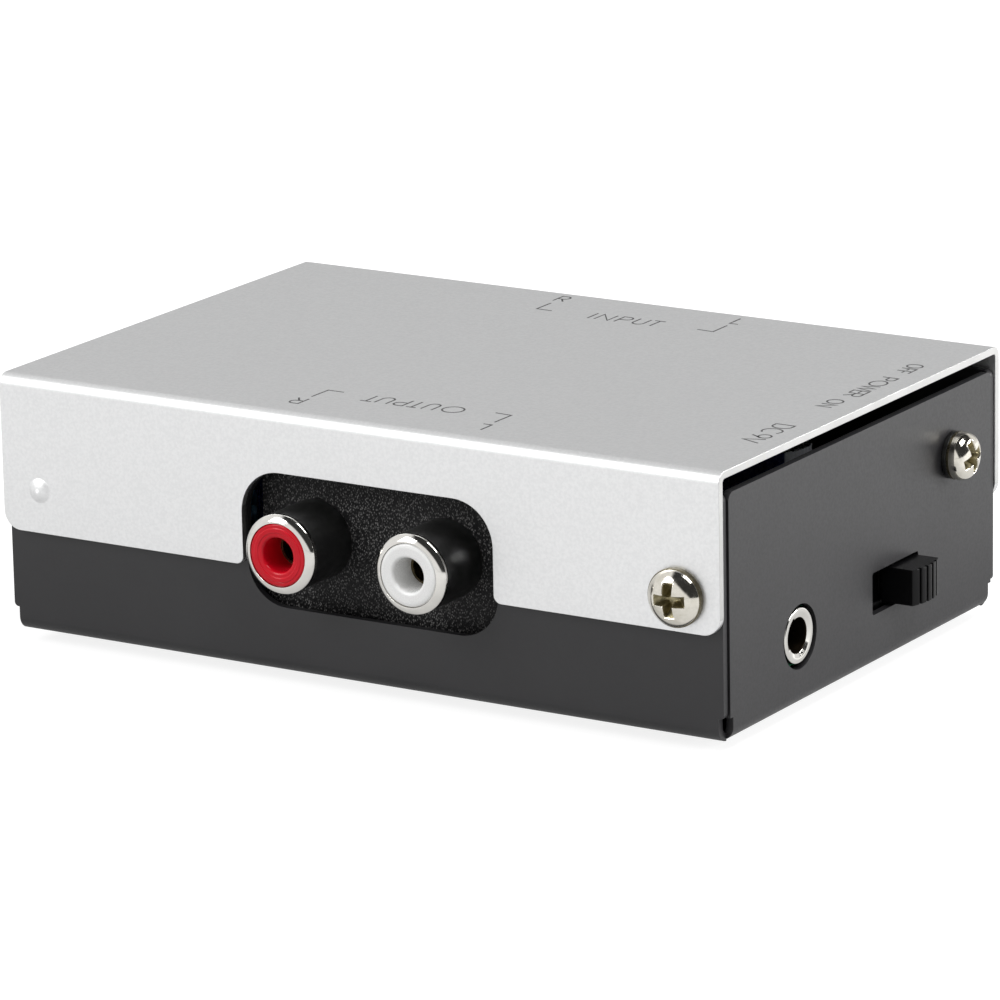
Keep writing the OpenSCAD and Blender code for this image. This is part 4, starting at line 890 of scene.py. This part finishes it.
# Each word's baseline, height and reading direction, and its letters with where they start and their widths
JACK_WORDS = (
    (19.77, 2.28, "+x", "I -1.36 0.01", "N -0.52 1.62", "P 1.95 1.3", "U 3.95 1.3", "T 5.7 1.3"),
    (
        19.05, 2.25, "-x",
        "O -8.09 2.3", "U -5.02 1.25", "T -3.15 1.15", "P -1.49 1.26", "U 0.44 1.36", "T 2.22 1.3",
    ),
    (24.95, 2.15, "+x", "R -8.8 1.2"),
    (24.6, 2.35, "+x", "L 13.35 1.0"),
    (23.3, 2.1, "-x", "R 8.4 1.25"),
    (23.55, 2.15, "-x", "L -13.65 1.0"),
)
SIDE_WORDS = (
    (38.75, 1.7, "-y", "O -17.8 1.4", "F -15.95 0.85", "F -14.9 0.85"),
    (38.8, 1.8, "-y", "P -11.7 1.2", "O -10.1 2.1", "W -7.85 2.0", "E -5.55 0.95", "R -4.4 1.15"),
    (38.55, 1.7, "-y", "O -1.3 1.55", "N 0.72 1.1"),
    (38.5, 2.15, "-y", "D 9.95 1.45", "C 11.75 1.9", "9 14.2 1.3", "V 15.85 1.6"),
)

# Brackets that lead from R and L to their jacks: the input's two, then the output's two
BRACKETS = [
    [(-8.35, 23.8), (-8.35, 20.88), (-6.45, 20.8)],
    [(11.65, 20.7), (13.65, 20.55), (13.6, 23.6)],
    [(-8.73, -22.35), (-8.68, -19.3), (-6.78, -19.32)],
    [(11.4, -19.25), (13.35, -19.4), (13.3, -22.5)],
]
INK_WIDTH, INK_SUNK, INK_PROUD = 0.2, 0.02, 0.01


def legends():
    """Printed words and brackets on the top of the cover, in ink that stands 0.01 mm proud."""
    strokes = [stroke for entry in JACK_WORDS for stroke in word(*entry)]
    strokes += BRACKETS
    strokes += [stroke for entry in SIDE_WORDS for stroke in word(*entry)]
    shapes = [ribbon(stroke, INK_WIDTH, CASE_TOP - INK_SUNK, CASE_TOP + INK_PROUD) for stroke in strokes]
    show("legends", mesh_of("legends", shapes), "case", "silver_sheet", [], finishes=["legend_ink"])


legends()

# ---------------------------------------------------------------- pieces that keep the CAD's own shape

eased("switch_knob", "slide_knob", "knob", "knob_plastic", 0.06)

CAD_FINISH = {
    "plain_steel": ("cover_nuts", "ground_nut", "board_standoffs"),
    "board_green": ("circuit_board",),
    "contact_metal": (
        "output_contact_right", "output_contact_left", "input_contact_right", "input_contact_left",
        "switch_contacts", "switch_clip",
    ),
    "inlet_plastic": ("power_inlet_body",),
    "switch_steel": ("switch_frame",),
    "wafer_board": ("switch_wafer",),
    "chip_epoxy": ("amplifier_chips", "protection_diode", "voltage_regulator"),
    "tinned_lead": ("power_inlet_contacts", "chip_leads", "resistor_leads", "diode_leads", "regulator_leads"),
    "capacitor_sleeve": ("small_capacitors", "reservoir_capacitor"),
    "film_box": ("film_capacitors",),
    "resistor_lacquer": ("resistors",),
}

for slot, nodes in CAD_FINISH.items():
    for node in nodes:
        NODES[node].data.materials.clear()
        NODES[node].data.materials.append(FINISHES[slot])
